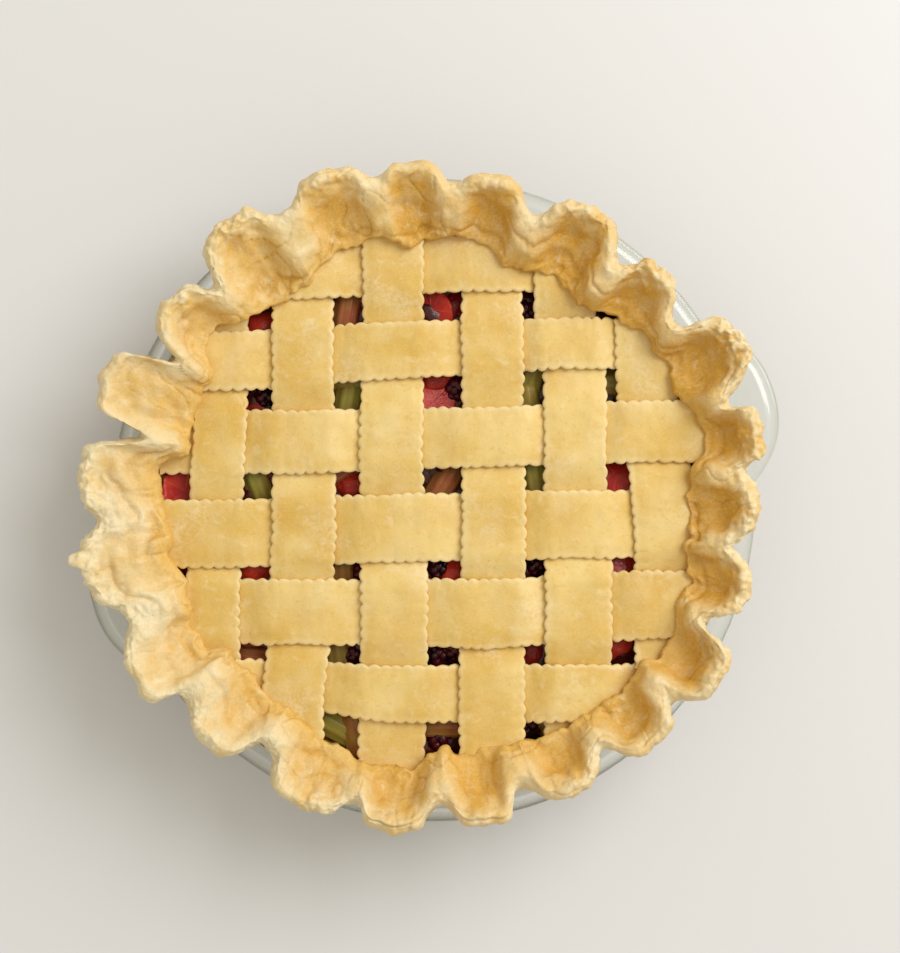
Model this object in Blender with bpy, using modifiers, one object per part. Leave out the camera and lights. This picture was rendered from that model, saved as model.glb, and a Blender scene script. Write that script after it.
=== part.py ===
"""An unbaked lattice pie in its clear dish.

The pieces are the dish, the pastry case with its hand-fluted rim, the fruit filling and twelve
pinked strips of pastry woven over it. Units are metres, +Z is up, and the origin is the centre of
the dish's flat underside. One tab handle of the dish stands 18 degrees round from +X, the other
opposite it. Angles run counter-clockwise from +X.
"""

import math
import random

import bmesh
import bpy
from mathutils import Vector

GAP = 0.0003

# Dish: its own section, and the two tabs that its flange widens into.
DISH_RIM_RADIUS = 0.1270
DISH_HEIGHT = 0.0440
DISH_BASE_RADIUS = 0.0860
DISH_FLOOR = 0.0045
DISH_WELL_RADIUS = 0.1124
DISH_FLANGE_THICKNESS = 0.0036
TAB_REACH = 0.0142
TAB_ANGLES = (18.0, 198.0)
TAB_HALF_ANGLE = 15.0

# Pastry case: the lining that follows the dish, and the heights of the rim that stands on the flange.
LINING_THICKNESS = 0.0035
FOOT_BOTTOM = 0.0430
FOOT_TOP = 0.0503
LOBE_CREST = 0.0664
RIDGE_CREST = 0.0630
CREST_SPREAD = 0.0014
RIM_UNDERSIDE = DISH_HEIGHT + GAP + 0.0001

# Each flute is a lobe pressed outward and the ridge pinched in after it, counter-clockwise:
# lobe angle, its outer radius, its inner foot, ridge angle, its outer radius, its inner foot.
FLUTES = (
    (-2.0, 0.1255, 0.1010, 5.5, 0.1220, 0.1060),
    (12.0, 0.1297, 0.1095, 18.5, 0.1205, 0.1090),
    (27.5, 0.1340, 0.1076, 36.5, 0.1166, 0.1060),
    (45.0, 0.1259, 0.1005, 52.0, 0.1165, 0.0960),
    (60.5, 0.1290, 0.0998, 70.5, 0.1180, 0.0965),
    (80.0, 0.1278, 0.1025, 86.5, 0.1240, 0.1048),
    (94.5, 0.1317, 0.1033, 100.5, 0.1278, 0.1045),
    (108.5, 0.1340, 0.1048, 117.5, 0.1259, 0.1010),
    (127.0, 0.1348, 0.0986, 136.0, 0.1193, 0.1033),
    (143.0, 0.1286, 0.1090, 151.5, 0.1154, 0.1013),
    (160.0, 0.1370, 0.0998, 167.5, 0.1170, 0.0986),
    (175.5, 0.1374, 0.1072, 183.0, 0.1313, 0.1064),
    (191.0, 0.1374, 0.1050, 201.5, 0.1274, 0.1033),
    (211.0, 0.1350, 0.1064, 218.5, 0.1243, 0.0998),
    (228.0, 0.1286, 0.1010, 235.0, 0.1158, 0.0998),
    (247.5, 0.1290, 0.1040, 255.0, 0.1216, 0.1070),
    (262.5, 0.1290, 0.1060, 271.5, 0.1178, 0.0994),
    (279.0, 0.1266, 0.0994, 287.0, 0.1166, 0.1005),
    (297.0, 0.1259, 0.1033, 304.0, 0.1166, 0.1025),
    (312.5, 0.1278, 0.1064, 320.0, 0.1212, 0.1029),
    (327.5, 0.1313, 0.1084, 336.0, 0.1154, 0.1048),
    (344.0, 0.1270, 0.1080, 351.5, 0.1178, 0.1017),
)
LOBE_BREADTH = 0.62
STEPS_PER_FLUTE = 8
RIM_STEPS = STEPS_PER_FLUTE * len(FLUTES)
WELL_STEPS = RIM_STEPS // 4
DISH_STEPS = RIM_STEPS // 2
CORE_STEPS = RIM_STEPS // 8

# Lattice: a weave whose middle level is a shallow dome over the filling.
STRIP_THICKNESS = 0.0028
WEAVE_GAP = 0.0004
WEAVE_CENTRE = 0.0505
WEAVE_EDGE = 0.0470
WEAVE_RADIUS = 0.1030
PINK_STEP = 0.00225
PINK_DEPTH = 0.0005
CROSSING_MARGIN = 0.0004
STRIP_END_GAP = 0.0010
STRIP_END_WIDTH = 0.0040

# Strips that run along Y, left to right: (y, centre x, width) at points along each.
STRIPS_ALONG_Y = (
    ((0.0314, -0.0837, 0.0211), (0.0040, -0.0854, 0.0211), (-0.0390, -0.0868, 0.0211)),
    ((0.0705, -0.0516, 0.0243), (-0.0109, -0.0508, 0.0250), (-0.0586, -0.0532, 0.0250),
     (-0.0743, -0.0551, 0.0243)),
    ((0.0744, -0.0160, 0.0238), (0.0216, -0.0168, 0.0246), (-0.0273, -0.0156, 0.0258),
     (-0.0645, -0.0156, 0.0266), (-0.0977, -0.0168, 0.0266)),
    ((0.0783, 0.0227, 0.0239), (-0.0077, 0.0235, 0.0250), (-0.0625, 0.0227, 0.0258)),
    ((0.0744, 0.0512, 0.0243), (0.0509, 0.0552, 0.0246), (0.0059, 0.0552, 0.0246),
     (-0.0234, 0.0568, 0.0262)),
    ((0.0509, 0.0830, 0.0239), (0.0392, 0.0842, 0.0239), (0.0079, 0.0893, 0.0250),
     (-0.0195, 0.0908, 0.0243), (-0.0567, 0.0904, 0.0235)),
)
# Strips that run along X, far to near: (x, centre y, width) at points along each.
STRIPS_ALONG_X = (
    ((-0.0504, 0.0908, 0.0235), (0.0161, 0.0932, 0.0227)),
    ((-0.0778, 0.0545, 0.0235), (-0.0152, 0.0588, 0.0223), (0.0521, 0.0615, 0.0200)),
    ((-0.0524, 0.0228, 0.0250), (0.0180, 0.0247, 0.0235), (0.0885, 0.0271, 0.0243)),
    ((-0.0837, -0.0132, 0.0266), (-0.0152, -0.0109, 0.0266), (0.0572, -0.0093, 0.0266)),
    ((-0.0524, -0.0437, 0.0254), (0.0200, -0.0445, 0.0270), (0.0865, -0.0410, 0.0270)),
    ((-0.0759, -0.0711, 0.0176), (-0.0172, -0.0758, 0.0223), (0.0493, -0.0758, 0.0227)),
)

# Fruit that shows in the openings of the lattice: kind, x, y, turn in degrees.
FRUIT_SIZES = {
    "berry": (0.0115, 0.0085, 0.0080),
    "stalk": (0.0095, 0.0065, 0.0060),
    "dark": (0.0072, 0.0072, 0.0070),
}
FRUIT = (
    ("berry", -0.0675, 0.0690, 20), ("stalk", -0.0345, 0.0745, 80), ("dark", -0.0270, 0.0800, 0),
    ("berry", -0.0010, 0.0755, 100), ("berry", 0.0090, 0.0770, 60), ("stalk", 0.0360, 0.0745, 95),
    ("dark", -0.0670, 0.0410, 0), ("berry", -0.0720, 0.0350, 150), ("stalk", -0.0335, 0.0405, 80),
    ("stalk", -0.0330, 0.0490, 0), ("berry", 0.0005, 0.0390, 40), ("dark", 0.0095, 0.0440, 0),
    ("berry", 0.0010, 0.0490, 15), ("stalk", 0.0380, 0.0475, 75), ("stalk", 0.0370, 0.0370, 100),
    ("dark", 0.0695, 0.0460, 0), ("berry", -0.0965, 0.0035, 10), ("stalk", -0.0690, 0.0050, 110),
    ("dark", -0.0630, 0.0110, 0), ("berry", -0.0330, 0.0060, 130), ("stalk", -0.0370, 0.0130, 30),
    ("stalk", 0.0040, 0.0060, 60), ("berry", 0.0050, 0.0140, 0), ("stalk", 0.0400, 0.0080, 100),
    ("berry", 0.0720, 0.0100, 70), ("berry", -0.0935, -0.0280, 0), ("berry", -0.0690, -0.0270, 10),
    ("stalk", -0.0370, -0.0270, 90), ("dark", -0.0280, -0.0290, 0), ("dark", 0.0010, -0.0270, 0),
    ("berry", 0.0095, -0.0275, 85), ("dark", 0.0400, -0.0260, 0), ("berry", 0.0740, -0.0255, 0),
    ("berry", -0.0710, -0.0560, 5), ("stalk", -0.0700, -0.0640, 175), ("stalk", -0.0390, -0.0600, 95),
    ("dark", -0.0310, -0.0620, 0), ("dark", 0.0010, -0.0610, 0), ("dark", 0.0085, -0.0600, 0),
    ("berry", 0.0390, -0.0590, 90), ("berry", 0.0740, -0.0560, 30), ("stalk", -0.0380, -0.0900, 150),
    ("stalk", -0.0300, -0.0930, 100), ("stalk", 0.0030, -0.0890, 0), ("dark", 0.0020, -0.0960, 0),
    ("dark", 0.0370, -0.0890, 0), ("stalk", 0.0450, -0.0890, 140),
)
FRUIT_CLEARANCE = 0.0004
FRUIT_DROP = 0.0016
FRUIT_OUTER_LIMIT = 0.1012

SEED = 7

GLASS = (0.80, 0.86, 0.84)
DOUGH = (0.86, 0.68, 0.38)
STRIP_DOUGH = (0.84, 0.63, 0.31)
FRUIT_RED = (0.42, 0.05, 0.04)


def make_material(name, colour, roughness, transmission=0.0):
    """A plain Principled material in the piece's own colour."""
    material = bpy.data.materials.new(name)
    material.use_nodes = True
    shader = material.node_tree.nodes["Principled BSDF"]
    shader.inputs["Base Color"].default_value = (*colour, 1.0)
    shader.inputs["Roughness"].default_value = roughness
    shader.inputs["Metallic"].default_value = 0.0
    shader.inputs["Transmission Weight"].default_value = transmission
    material.diffuse_color = (*colour, 1.0)
    return material


def link_mesh(name, mesh, collection, material=None):
    """Puts a mesh in the scene as one named object."""
    piece = bpy.data.objects.new(name, mesh)
    collection.objects.link(piece)
    if material:
        mesh.materials.append(material)
    return piece


def turned_mesh(name, section, steps, collection):
    """Turns a section of (radius, height) points once round Z and returns the closed mesh."""
    outline = bpy.data.meshes.new(name)
    points = [(radius, 0.0, height) for radius, height in section]
    outline.from_pydata(points, [(i, i + 1) for i in range(len(points) - 1)], [])
    piece = link_mesh(name, outline, collection)
    screw = piece.modifiers.new("Turn", "SCREW")
    screw.axis = "Z"
    screw.angle = math.tau
    screw.steps = steps
    screw.render_steps = steps
    screw.use_merge_vertices = True
    screw.merge_threshold = 0.00001
    graph = bpy.context.evaluated_depsgraph_get()
    mesh = bpy.data.meshes.new_from_object(piece.evaluated_get(graph))
    bpy.data.objects.remove(piece)
    bpy.data.meshes.remove(outline)
    mesh.name = name
    return mesh


def polar(vertex):
    """Radius and angle in degrees, 0 to 360, of a vertex."""
    radius = math.hypot(vertex.co.x, vertex.co.y)
    return radius, math.degrees(math.atan2(vertex.co.y, vertex.co.x)) % 360.0


def sort_by_station(bm, section, steps):
    """Groups a turned mesh's vertices by the section point they came from: {point: {step: vertex}}."""
    rings = {index: {} for index in range(len(section))}
    for vertex in bm.verts:
        radius, angle = polar(vertex)
        point = min(rings, key=lambda i: math.hypot(radius - section[i][0], vertex.co.z - section[i][1]))
        rings[point][round(angle * steps / 360.0) % steps] = vertex
    return rings


def thin_rings(bm, rings, points, keep_every, steps):
    """Merges the vertices of plain rings so that one in every few is kept."""
    target = {}
    for point in points:
        ring = rings[point]
        if len(ring) < steps:
            continue
        for step, vertex in ring.items():
            kept = round(step / keep_every) * keep_every % steps
            if kept != step:
                target[vertex] = ring[kept]
    bmesh.ops.weld_verts(bm, targetmap=target)


def finish_mesh(bm, mesh, smooth_angle=40.0):
    """Writes the edited mesh back, with outward faces and rounded shading."""
    bmesh.ops.recalc_face_normals(bm, faces=bm.faces)
    bm.to_mesh(mesh)
    bm.free()
    mesh.shade_smooth()
    mesh.set_sharp_from_angle(angle=math.radians(smooth_angle))


def dish_section():
    """The dish from the middle of its floor, up the well, over the flange and down to the base."""
    wall = 0.0050
    return (
        (0.0, DISH_FLOOR),
        (DISH_BASE_RADIUS - 0.0040, DISH_FLOOR),
        (DISH_BASE_RADIUS + 0.0032, DISH_FLOOR + 0.0031),
        (DISH_WELL_RADIUS, DISH_HEIGHT - 0.0045),
        (DISH_WELL_RADIUS + 0.0031, DISH_HEIGHT - 0.0008),
        (DISH_WELL_RADIUS + 0.0061, DISH_HEIGHT),
        (DISH_RIM_RADIUS - 0.0012, DISH_HEIGHT),
        (DISH_RIM_RADIUS, DISH_HEIGHT - 0.0012),
        (DISH_RIM_RADIUS - 0.0006, DISH_HEIGHT - DISH_FLANGE_THICKNESS),
        (DISH_WELL_RADIUS + wall, DISH_HEIGHT - DISH_FLANGE_THICKNESS - 0.0004),
        (DISH_BASE_RADIUS + 0.0032 + wall, 0.0046),
        (DISH_BASE_RADIUS + 0.0030, 0.0010),
        (DISH_BASE_RADIUS, 0.0),
        (0.0, 0.0),
    )


def tab_swell(angle):
    """How far the flange's edge is drawn out into a tab at an angle."""
    nearest = min(abs((angle - tab + 180.0) % 360.0 - 180.0) for tab in TAB_ANGLES)
    if nearest >= TAB_HALF_ANGLE:
        return 0.0
    across = nearest / TAB_HALF_ANGLE
    return TAB_REACH * (1.0 - across ** 2.4) ** 1.1


def build_dish(collection):
    """The clear dish, turned in one piece, with its flange drawn out into two tabs."""
    section = dish_section()
    mesh = turned_mesh("glass_dish", section, DISH_STEPS, collection)
    bm = bmesh.new()
    bm.from_mesh(mesh)
    rings = sort_by_station(bm, section, DISH_STEPS)
    flange_edge = (6, 7, 8)
    plain = [point for point in range(len(section)) if point not in flange_edge]
    for point in flange_edge:
        for vertex in rings[point].values():
            radius, angle = polar(vertex)
            vertex.co.xy *= (radius + tab_swell(angle)) / radius
    thin_rings(bm, rings, plain, DISH_STEPS // WELL_STEPS, DISH_STEPS)
    finish_mesh(bm, mesh)
    material = make_material("clear_glass", GLASS, 0.05, transmission=1.0)
    return link_mesh("glass_dish", mesh, collection, material)


def flute_at(step):
    """Angle, outer radius, inner foot and lobe share (1 on a lobe, 0 on a ridge) at a rim step."""
    flute, part = divmod(step % RIM_STEPS, STEPS_PER_FLUTE)
    half = STEPS_PER_FLUTE // 2
    row = FLUTES[flute]
    lobe, ridge, along = row[:3], row[3:], part / half
    if part > half:
        following = FLUTES[(flute + 1) % len(FLUTES)]
        turn = 360.0 if flute + 1 == len(FLUTES) else 0.0
        lobe = (following[0] + turn, following[1], following[2])
        along = (STEPS_PER_FLUTE - part) / half
    share = (0.5 + 0.5 * math.cos(math.pi * along)) ** LOBE_BREADTH
    angle = lobe[0] + (ridge[0] - lobe[0]) * along
    outer = ridge[1] + (lobe[1] - ridge[1]) * share
    foot = ridge[2] + (lobe[2] - ridge[2]) * share
    return angle, outer, foot, share


def foot_radius(angle):
    """Radius of the rim's inner foot at an angle, straight between the rim's steps."""
    wanted = (angle - FLUTES[0][0]) % 360.0 + FLUTES[0][0]
    before = flute_at(0)
    for step in range(1, RIM_STEPS + 1):
        after = flute_at(step)
        turned = after[0] + (360.0 if step == RIM_STEPS else 0.0)
        if wanted <= turned:
            share = (wanted - before[0]) / (turned - before[0])
            return before[2] + (after[2] - before[2]) * share
        before = after
    return before[2]


def rim_section(outer, foot, share, crest_offset):
    """The rim's section, from the low inner foot over the crest to the underside."""
    width = outer - foot
    lobe = (
        (foot + 0.0004, FOOT_BOTTOM),
        (foot, FOOT_TOP),
        (foot + 0.22 * width, FOOT_TOP + 0.0016),
        (foot + 0.50 * width, FOOT_TOP + 0.0066),
        (outer - 0.0078, LOBE_CREST - 0.0030 + crest_offset),
        (outer - 0.0040, LOBE_CREST + crest_offset),
        (outer - 0.0008, LOBE_CREST - 0.0030 + crest_offset),
        (outer, 0.0565),
        (outer - 0.0025, 0.0466),
        (outer - 0.0050, RIM_UNDERSIDE),
    )
    ridge = (
        (foot + 0.0004, FOOT_BOTTOM),
        (foot, FOOT_TOP),
        (foot + 0.0013, 0.0552),
        (foot + 0.27 * width, RIDGE_CREST - 0.0024),
        (foot + 0.58 * width, RIDGE_CREST),
        (outer - 0.0038, RIDGE_CREST - 0.0002),
        (outer - 0.0011, RIDGE_CREST - 0.0032),
        (outer, 0.0535),
        (outer - 0.0004, 0.0460),
        (outer - 0.0022, RIM_UNDERSIDE),
    )
    return [
        (low[0] + (high[0] - low[0]) * share, low[1] + (high[1] - low[1]) * share)
        for high, low in zip(lobe, ridge)
    ]


def crust_section():
    """The case's section in three runs: up the lining, over the rim and back under the lining."""
    inner = DISH_FLOOR + GAP + LINING_THICKNESS
    plain_rim = rim_section(DISH_RIM_RADIUS, WEAVE_RADIUS + 0.0010, 1.0, 0.0)
    lining_top = (
        (0.0, inner),
        (DISH_BASE_RADIUS - 0.0070, inner),
        (DISH_BASE_RADIUS + 0.0010, inner + 0.0042),
        (DISH_WELL_RADIUS - 0.0049, 0.0390),
    )
    lining_under = (
        (DISH_WELL_RADIUS + 0.0060, RIM_UNDERSIDE),
        (DISH_WELL_RADIUS + 0.0027, DISH_HEIGHT - 0.0005),
        (DISH_WELL_RADIUS - 0.0005, DISH_HEIGHT - 0.0042),
        (DISH_BASE_RADIUS + 0.0028, DISH_FLOOR + 0.0035),
        (DISH_BASE_RADIUS - 0.0041, DISH_FLOOR + 0.0004),
        (0.0, DISH_FLOOR + 0.0004),
    )
    return lining_top, plain_rim, lining_under


def build_crust(collection):
    """The pastry case: a turned lining whose rim is pressed out into lobes and pinched into ridges."""
    lining_top, plain_rim, lining_under = crust_section()
    section = (*lining_top, *plain_rim, *lining_under)
    mesh = turned_mesh("crust", section, RIM_STEPS, collection)
    bm = bmesh.new()
    bm.from_mesh(mesh)
    rings = sort_by_station(bm, section, RIM_STEPS)
    first = len(lining_top)
    rim_points = range(first, first + len(plain_rim))
    draw = random.Random(SEED)
    offsets = [draw.uniform(-CREST_SPREAD, CREST_SPREAD) for _ in FLUTES]
    for step in range(RIM_STEPS):
        angle, outer, foot, share = flute_at(step)
        nearest = round(step / STEPS_PER_FLUTE) % len(FLUTES)
        pressed = rim_section(outer, foot, share, offsets[nearest])
        turn = math.radians(angle)
        for point, (radius, height) in zip(rim_points, pressed):
            rings[point][step].co = (radius * math.cos(turn), radius * math.sin(turn), height)
    plain = [point for point in range(len(section)) if point not in rim_points]
    thin_rings(bm, rings, plain, RIM_STEPS // WELL_STEPS, RIM_STEPS)
    finish_mesh(bm, mesh)
    material = make_material("rim_dough", DOUGH, 0.62)
    return link_mesh("crust", mesh, collection, material)


def weave_height(x, y):
    """Middle level of the weave: highest over the middle of the pie."""
    fall = (x * x + y * y) / (WEAVE_RADIUS * WEAVE_RADIUS)
    return WEAVE_CENTRE + (WEAVE_EDGE - WEAVE_CENTRE) * fall


def along_table(rows, place):
    """Centre and width of a strip at a place along it, straight between its measured points."""
    ordered = sorted(rows)
    if place <= ordered[0][0]:
        low, high = ordered[0], ordered[1]
    elif place >= ordered[-1][0]:
        low, high = ordered[-2], ordered[-1]
    else:
        low, high = next((a, b) for a, b in zip(ordered, ordered[1:]) if a[0] <= place <= b[0])
    share = min(max((place - low[0]) / (high[0] - low[0]), 0.0), 1.0)
    return low[1] + (high[1] - low[1]) * share, low[2] + (high[2] - low[2]) * share


def crossing(rows, other_rows):
    """Where two strips cross, as the place along the first and half the length they share there."""
    place, other_place = 0.0, 0.0
    for _ in range(12):
        other_place = along_table(rows, place)[0]
        place = along_table(other_rows, other_place)[0]
    own_half = along_table(rows, place)[1] / 2.0
    other_centre, other_width = along_table(other_rows, other_place)
    lean = abs(along_table(other_rows, other_place + own_half)[0] - other_centre)
    lean = max(lean, abs(along_table(other_rows, other_place - own_half)[0] - other_centre))
    return place, other_width / 2.0 + lean + PINK_DEPTH + CROSSING_MARGIN


def inside_foot(x, y):
    """True where a point is clear of the rim's inner foot."""
    limit = foot_radius(math.degrees(math.atan2(y, x))) - STRIP_END_GAP
    return math.hypot(x, y) <= limit


def strip_point(along_y, place, across):
    """World x and y of a point given along and across a strip."""
    return (across, place) if along_y else (place, across)


def clipped_edges(along_y, place, low, high):
    """Draws the edges of a strip in to the rim's foot; None where the strip has ended."""
    middle = min(max(0.0, low), high)
    if not inside_foot(*strip_point(along_y, place, middle)):
        return None
    edges = []
    for edge in (low, high):
        if inside_foot(*strip_point(along_y, place, edge)):
            edges.append((edge, False))
            continue
        near, far = middle, edge
        for _ in range(14):
            half = (near + far) / 2.0
            if inside_foot(*strip_point(along_y, place, half)):
                near = half
            else:
                far = half
        edges.append((near, True))
    return edges


def strip_end(rows, along_y, direction):
    """The last place along a strip, one way, where it still has some width inside the rim."""
    inside, outside = 0.0, direction * 0.125
    for _ in range(16):
        place = (inside + outside) / 2.0
        centre, width = along_table(rows, place)
        edges = clipped_edges(along_y, place, centre - width / 2.0, centre + width / 2.0)
        if edges and edges[1][0] - edges[0][0] >= STRIP_END_WIDTH:
            inside = place
        else:
            outside = place
    return inside


def end_level(knots, place):
    """Level of a strip's end: that of the crossing it ends in, or 0 between crossings."""
    for (low, low_level), (high, high_level) in zip(knots, knots[1:]):
        if low <= place <= high and low_level == high_level:
            return low_level
    return 0.0


def strip_stations(rows, others, index, along_y):
    """Places along a strip with its level there: 1 over, -1 under and 0 at its ends."""
    start, stop = strip_end(rows, along_y, -1.0), strip_end(rows, along_y, 1.0)
    knots = []
    for other_index, other in enumerate(others):
        place, half = crossing(rows, other)
        over = (index + other_index) % 2 == (0 if along_y else 1)
        level = 1.0 if over else -1.0
        knots += [(place - half, level), (place + half, level)]
    knots.sort()
    kept = [knot for knot in knots if start < knot[0] < stop]
    knots = [(start, end_level(knots, start)), *kept, (stop, end_level(knots, stop))]
    stations = [knots[0]]
    for (low, low_level), (high, high_level) in zip(knots, knots[1:]):
        count = max(1, round((high - low) / PINK_STEP))
        for part in range(1, count + 1):
            share = part / count
            ease = share * share * (3.0 - 2.0 * share)
            stations.append((low + (high - low) * share, low_level + (high_level - low_level) * ease))
    return stations


def build_strip(name, rows, others, index, along_y, collection, material):
    """One pinked strip, bent over and under the strips that cross it."""
    stations = strip_stations(rows, others, index, along_y)
    bm = bmesh.new()
    bmesh.ops.create_grid(bm, x_segments=len(stations) - 1, y_segments=1, size=1.0)
    columns = {}
    for vertex in bm.verts:
        column = round((vertex.co.x + 1.0) / 2.0 * (len(stations) - 1))
        columns.setdefault(column, {})[vertex.co.y > 0.0] = vertex
    drop = STRIP_THICKNESS / 2.0
    swing = (STRIP_THICKNESS + WEAVE_GAP) / 2.0
    for column, (place, level) in enumerate(stations):
        centre, width = along_table(rows, place)
        edges = clipped_edges(along_y, place, centre - width / 2.0, centre + width / 2.0)
        for high_side, (across, clipped) in zip((False, True), edges):
            pink = PINK_DEPTH if (column + high_side) % 2 else -PINK_DEPTH
            if not clipped:
                across += pink if high_side else -pink
            x, y = strip_point(along_y, place, across)
            if not inside_foot(x, y):
                x, y = strip_point(along_y, place, edges[high_side][0])
            columns[column][high_side].co = (x, y, weave_height(x, y) + level * swing + drop)
    grown = bmesh.ops.extrude_face_region(bm, geom=bm.faces[:])
    lower = [item for item in grown["geom"] if isinstance(item, bmesh.types.BMVert)]
    bmesh.ops.translate(bm, verts=lower, vec=Vector((0.0, 0.0, -STRIP_THICKNESS)))
    mesh = bpy.data.meshes.new(name)
    finish_mesh(bm, mesh, smooth_angle=30.0)
    return link_mesh(name, mesh, collection, material)


def build_lattice(collection):
    """Twelve strips, six each way, each over one and under the next."""
    material = make_material("strip_dough", STRIP_DOUGH, 0.60)
    for index, rows in enumerate(STRIPS_ALONG_Y):
        build_strip(f"strip_v{index}", rows, STRIPS_ALONG_X, index, True, collection, material)
    for index, rows in enumerate(STRIPS_ALONG_X):
        build_strip(f"strip_h{index}", rows, STRIPS_ALONG_Y, index, False, collection, material)


def core_section():
    """The filling below its top pieces, from the top down the lining to the floor."""
    inner = DISH_FLOOR + GAP + LINING_THICKNESS
    return (
        (0.0, 0.0440),
        (0.0500, 0.0428),
        (0.0935, 0.0402),
        (0.1050, 0.0368),
        (DISH_BASE_RADIUS + 0.0004, inner + 0.0046),
        (DISH_BASE_RADIUS - 0.0075, inner + GAP),
        (0.0, inner + GAP),
    )


def fruit_mesh(kind):
    """A strawberry, a cut stalk or a dark berry with few sides, centred on the origin."""
    length, breadth, height = FRUIT_SIZES[kind]
    bm = bmesh.new()
    if kind == "stalk":
        bmesh.ops.create_cone(bm, cap_ends=True, segments=8, radius1=1.0, radius2=1.0, depth=2.0)
        for vertex in bm.verts:
            x, y, z = vertex.co
            vertex.co = (z, x, y)
    else:
        bmesh.ops.create_uvsphere(bm, u_segments=8, v_segments=4, radius=1.0)
    for vertex in bm.verts:
        taper = 1.0 - 0.28 * vertex.co.x if kind == "berry" else 1.0
        vertex.co = (vertex.co.x * length, vertex.co.y * breadth * taper, vertex.co.z * height * taper)
    mesh = bpy.data.meshes.new(kind)
    bmesh.ops.recalc_face_normals(bm, faces=bm.faces)
    bm.to_mesh(mesh)
    bm.free()
    return mesh


def place_fruit(pieces):
    """Sinks the fruit that shows into the filling, clear of the lattice and the rim."""
    draw = random.Random(SEED)
    for number, (kind, x, y, turn) in enumerate(FRUIT):
        length, breadth, height = FRUIT_SIZES[kind]
        reach = max(length, breadth) + 0.0010
        radius = math.hypot(x, y)
        limit = min(foot_radius(math.degrees(math.atan2(y, x))), FRUIT_OUTER_LIMIT) - reach
        if radius > limit:
            x, y = x * limit / radius, y * limit / radius
        tilt = draw.uniform(-9.0, 9.0)
        rise = abs(math.sin(math.radians(tilt))) * length + height
        top = weave_height(x, y) - WEAVE_GAP / 2.0 - STRIP_THICKNESS - FRUIT_CLEARANCE
        lowest_top = min(
            weave_height(x + dx, y + dy) for dx in (-reach, reach) for dy in (-reach, reach)
        ) - WEAVE_GAP / 2.0 - STRIP_THICKNESS - FRUIT_CLEARANCE
        top = min(top, lowest_top) - draw.uniform(0.0, FRUIT_DROP)
        piece = link_mesh(f"fruit_{number}", fruit_mesh(kind), pieces)
        piece.location = (x, y, top - rise)
        piece.rotation_euler = (0.0, math.radians(tilt), math.radians(turn))
        piece.display_type = "WIRE"
        piece.hide_render = True


def build_filling(collection, cutters):
    """The filling: a turned core with the fruit that shows fused into its top."""
    mesh = turned_mesh("filling", core_section(), CORE_STEPS, collection)
    bm = bmesh.new()
    bm.from_mesh(mesh)
    finish_mesh(bm, mesh)
    core = link_mesh("filling", mesh, collection, make_material("fruit", FRUIT_RED, 0.30))
    place_fruit(cutters)
    union = core.modifiers.new("Fruit", "BOOLEAN")
    union.operation = "UNION"
    union.operand_type = "COLLECTION"
    union.collection = cutters
    union.solver = "MANIFOLD"
    bpy.context.view_layer.update()
    graph = bpy.context.evaluated_depsgraph_get()
    joined = bpy.data.meshes.new_from_object(core.evaluated_get(graph))
    core.modifiers.clear()
    core.data = joined
    for piece in list(cutters.objects):
        bpy.data.objects.remove(piece)
    bm = bmesh.new()
    bm.from_mesh(joined)
    bmesh.ops.remove_doubles(bm, verts=bm.verts, dist=0.00002)
    bmesh.ops.dissolve_limit(bm, angle_limit=math.radians(2.0), verts=bm.verts, edges=bm.edges)
    bmesh.ops.triangulate(bm, faces=bm.faces)
    finish_mesh(bm, joined, smooth_angle=50.0)
    return core


def clear_scene():
    """Removes whatever the file opened with."""
    for item in list(bpy.data.objects):
        bpy.data.objects.remove(item)


def main():
    clear_scene()
    collection = bpy.data.collections.new("lattice_pie")
    cutters = bpy.data.collections.new("fruit_pieces")
    bpy.context.scene.collection.children.link(collection)
    bpy.context.scene.collection.children.link(cutters)
    build_dish(collection)
    build_crust(collection)
    build_filling(collection, cutters)
    build_lattice(collection)


main()
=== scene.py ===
"""An unbaked lattice pie in its clear dish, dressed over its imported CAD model.

Units are metres, +Z is up and angles run counter-clockwise from +X, as in the model. Run as a
script it makes the dish, the pastry case with its hand-fluted rim, the woven strips, the fruit that
shows between them and a plain stage.
"""

import math
import random

import bpy
import numpy as np
from bpy.props import FloatProperty, FloatVectorProperty, PointerProperty
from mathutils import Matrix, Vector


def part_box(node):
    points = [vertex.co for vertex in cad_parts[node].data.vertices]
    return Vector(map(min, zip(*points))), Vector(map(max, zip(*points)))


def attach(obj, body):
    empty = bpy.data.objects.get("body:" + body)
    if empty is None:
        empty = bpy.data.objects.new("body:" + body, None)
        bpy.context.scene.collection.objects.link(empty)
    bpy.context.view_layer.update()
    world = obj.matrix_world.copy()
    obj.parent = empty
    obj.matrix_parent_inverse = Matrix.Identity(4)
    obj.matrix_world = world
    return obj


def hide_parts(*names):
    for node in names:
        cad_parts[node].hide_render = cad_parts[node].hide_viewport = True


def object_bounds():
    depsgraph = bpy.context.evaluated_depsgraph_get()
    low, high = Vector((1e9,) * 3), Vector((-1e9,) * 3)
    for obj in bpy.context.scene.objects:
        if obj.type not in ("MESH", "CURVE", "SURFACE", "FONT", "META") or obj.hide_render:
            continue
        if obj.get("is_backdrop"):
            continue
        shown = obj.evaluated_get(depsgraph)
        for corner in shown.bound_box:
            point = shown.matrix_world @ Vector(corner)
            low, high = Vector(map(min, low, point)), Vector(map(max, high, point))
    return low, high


bl_info = {
    "name": "Lattice Pie",
    "version": (1, 0, 0),
    "blender": (4, 5, 0),
    "location": "3D View > Sidebar > Pie",
    "description": "Makes an unbaked lattice pie with a fluted rim in a clear dish",
    "category": "Add Mesh",
}

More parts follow.
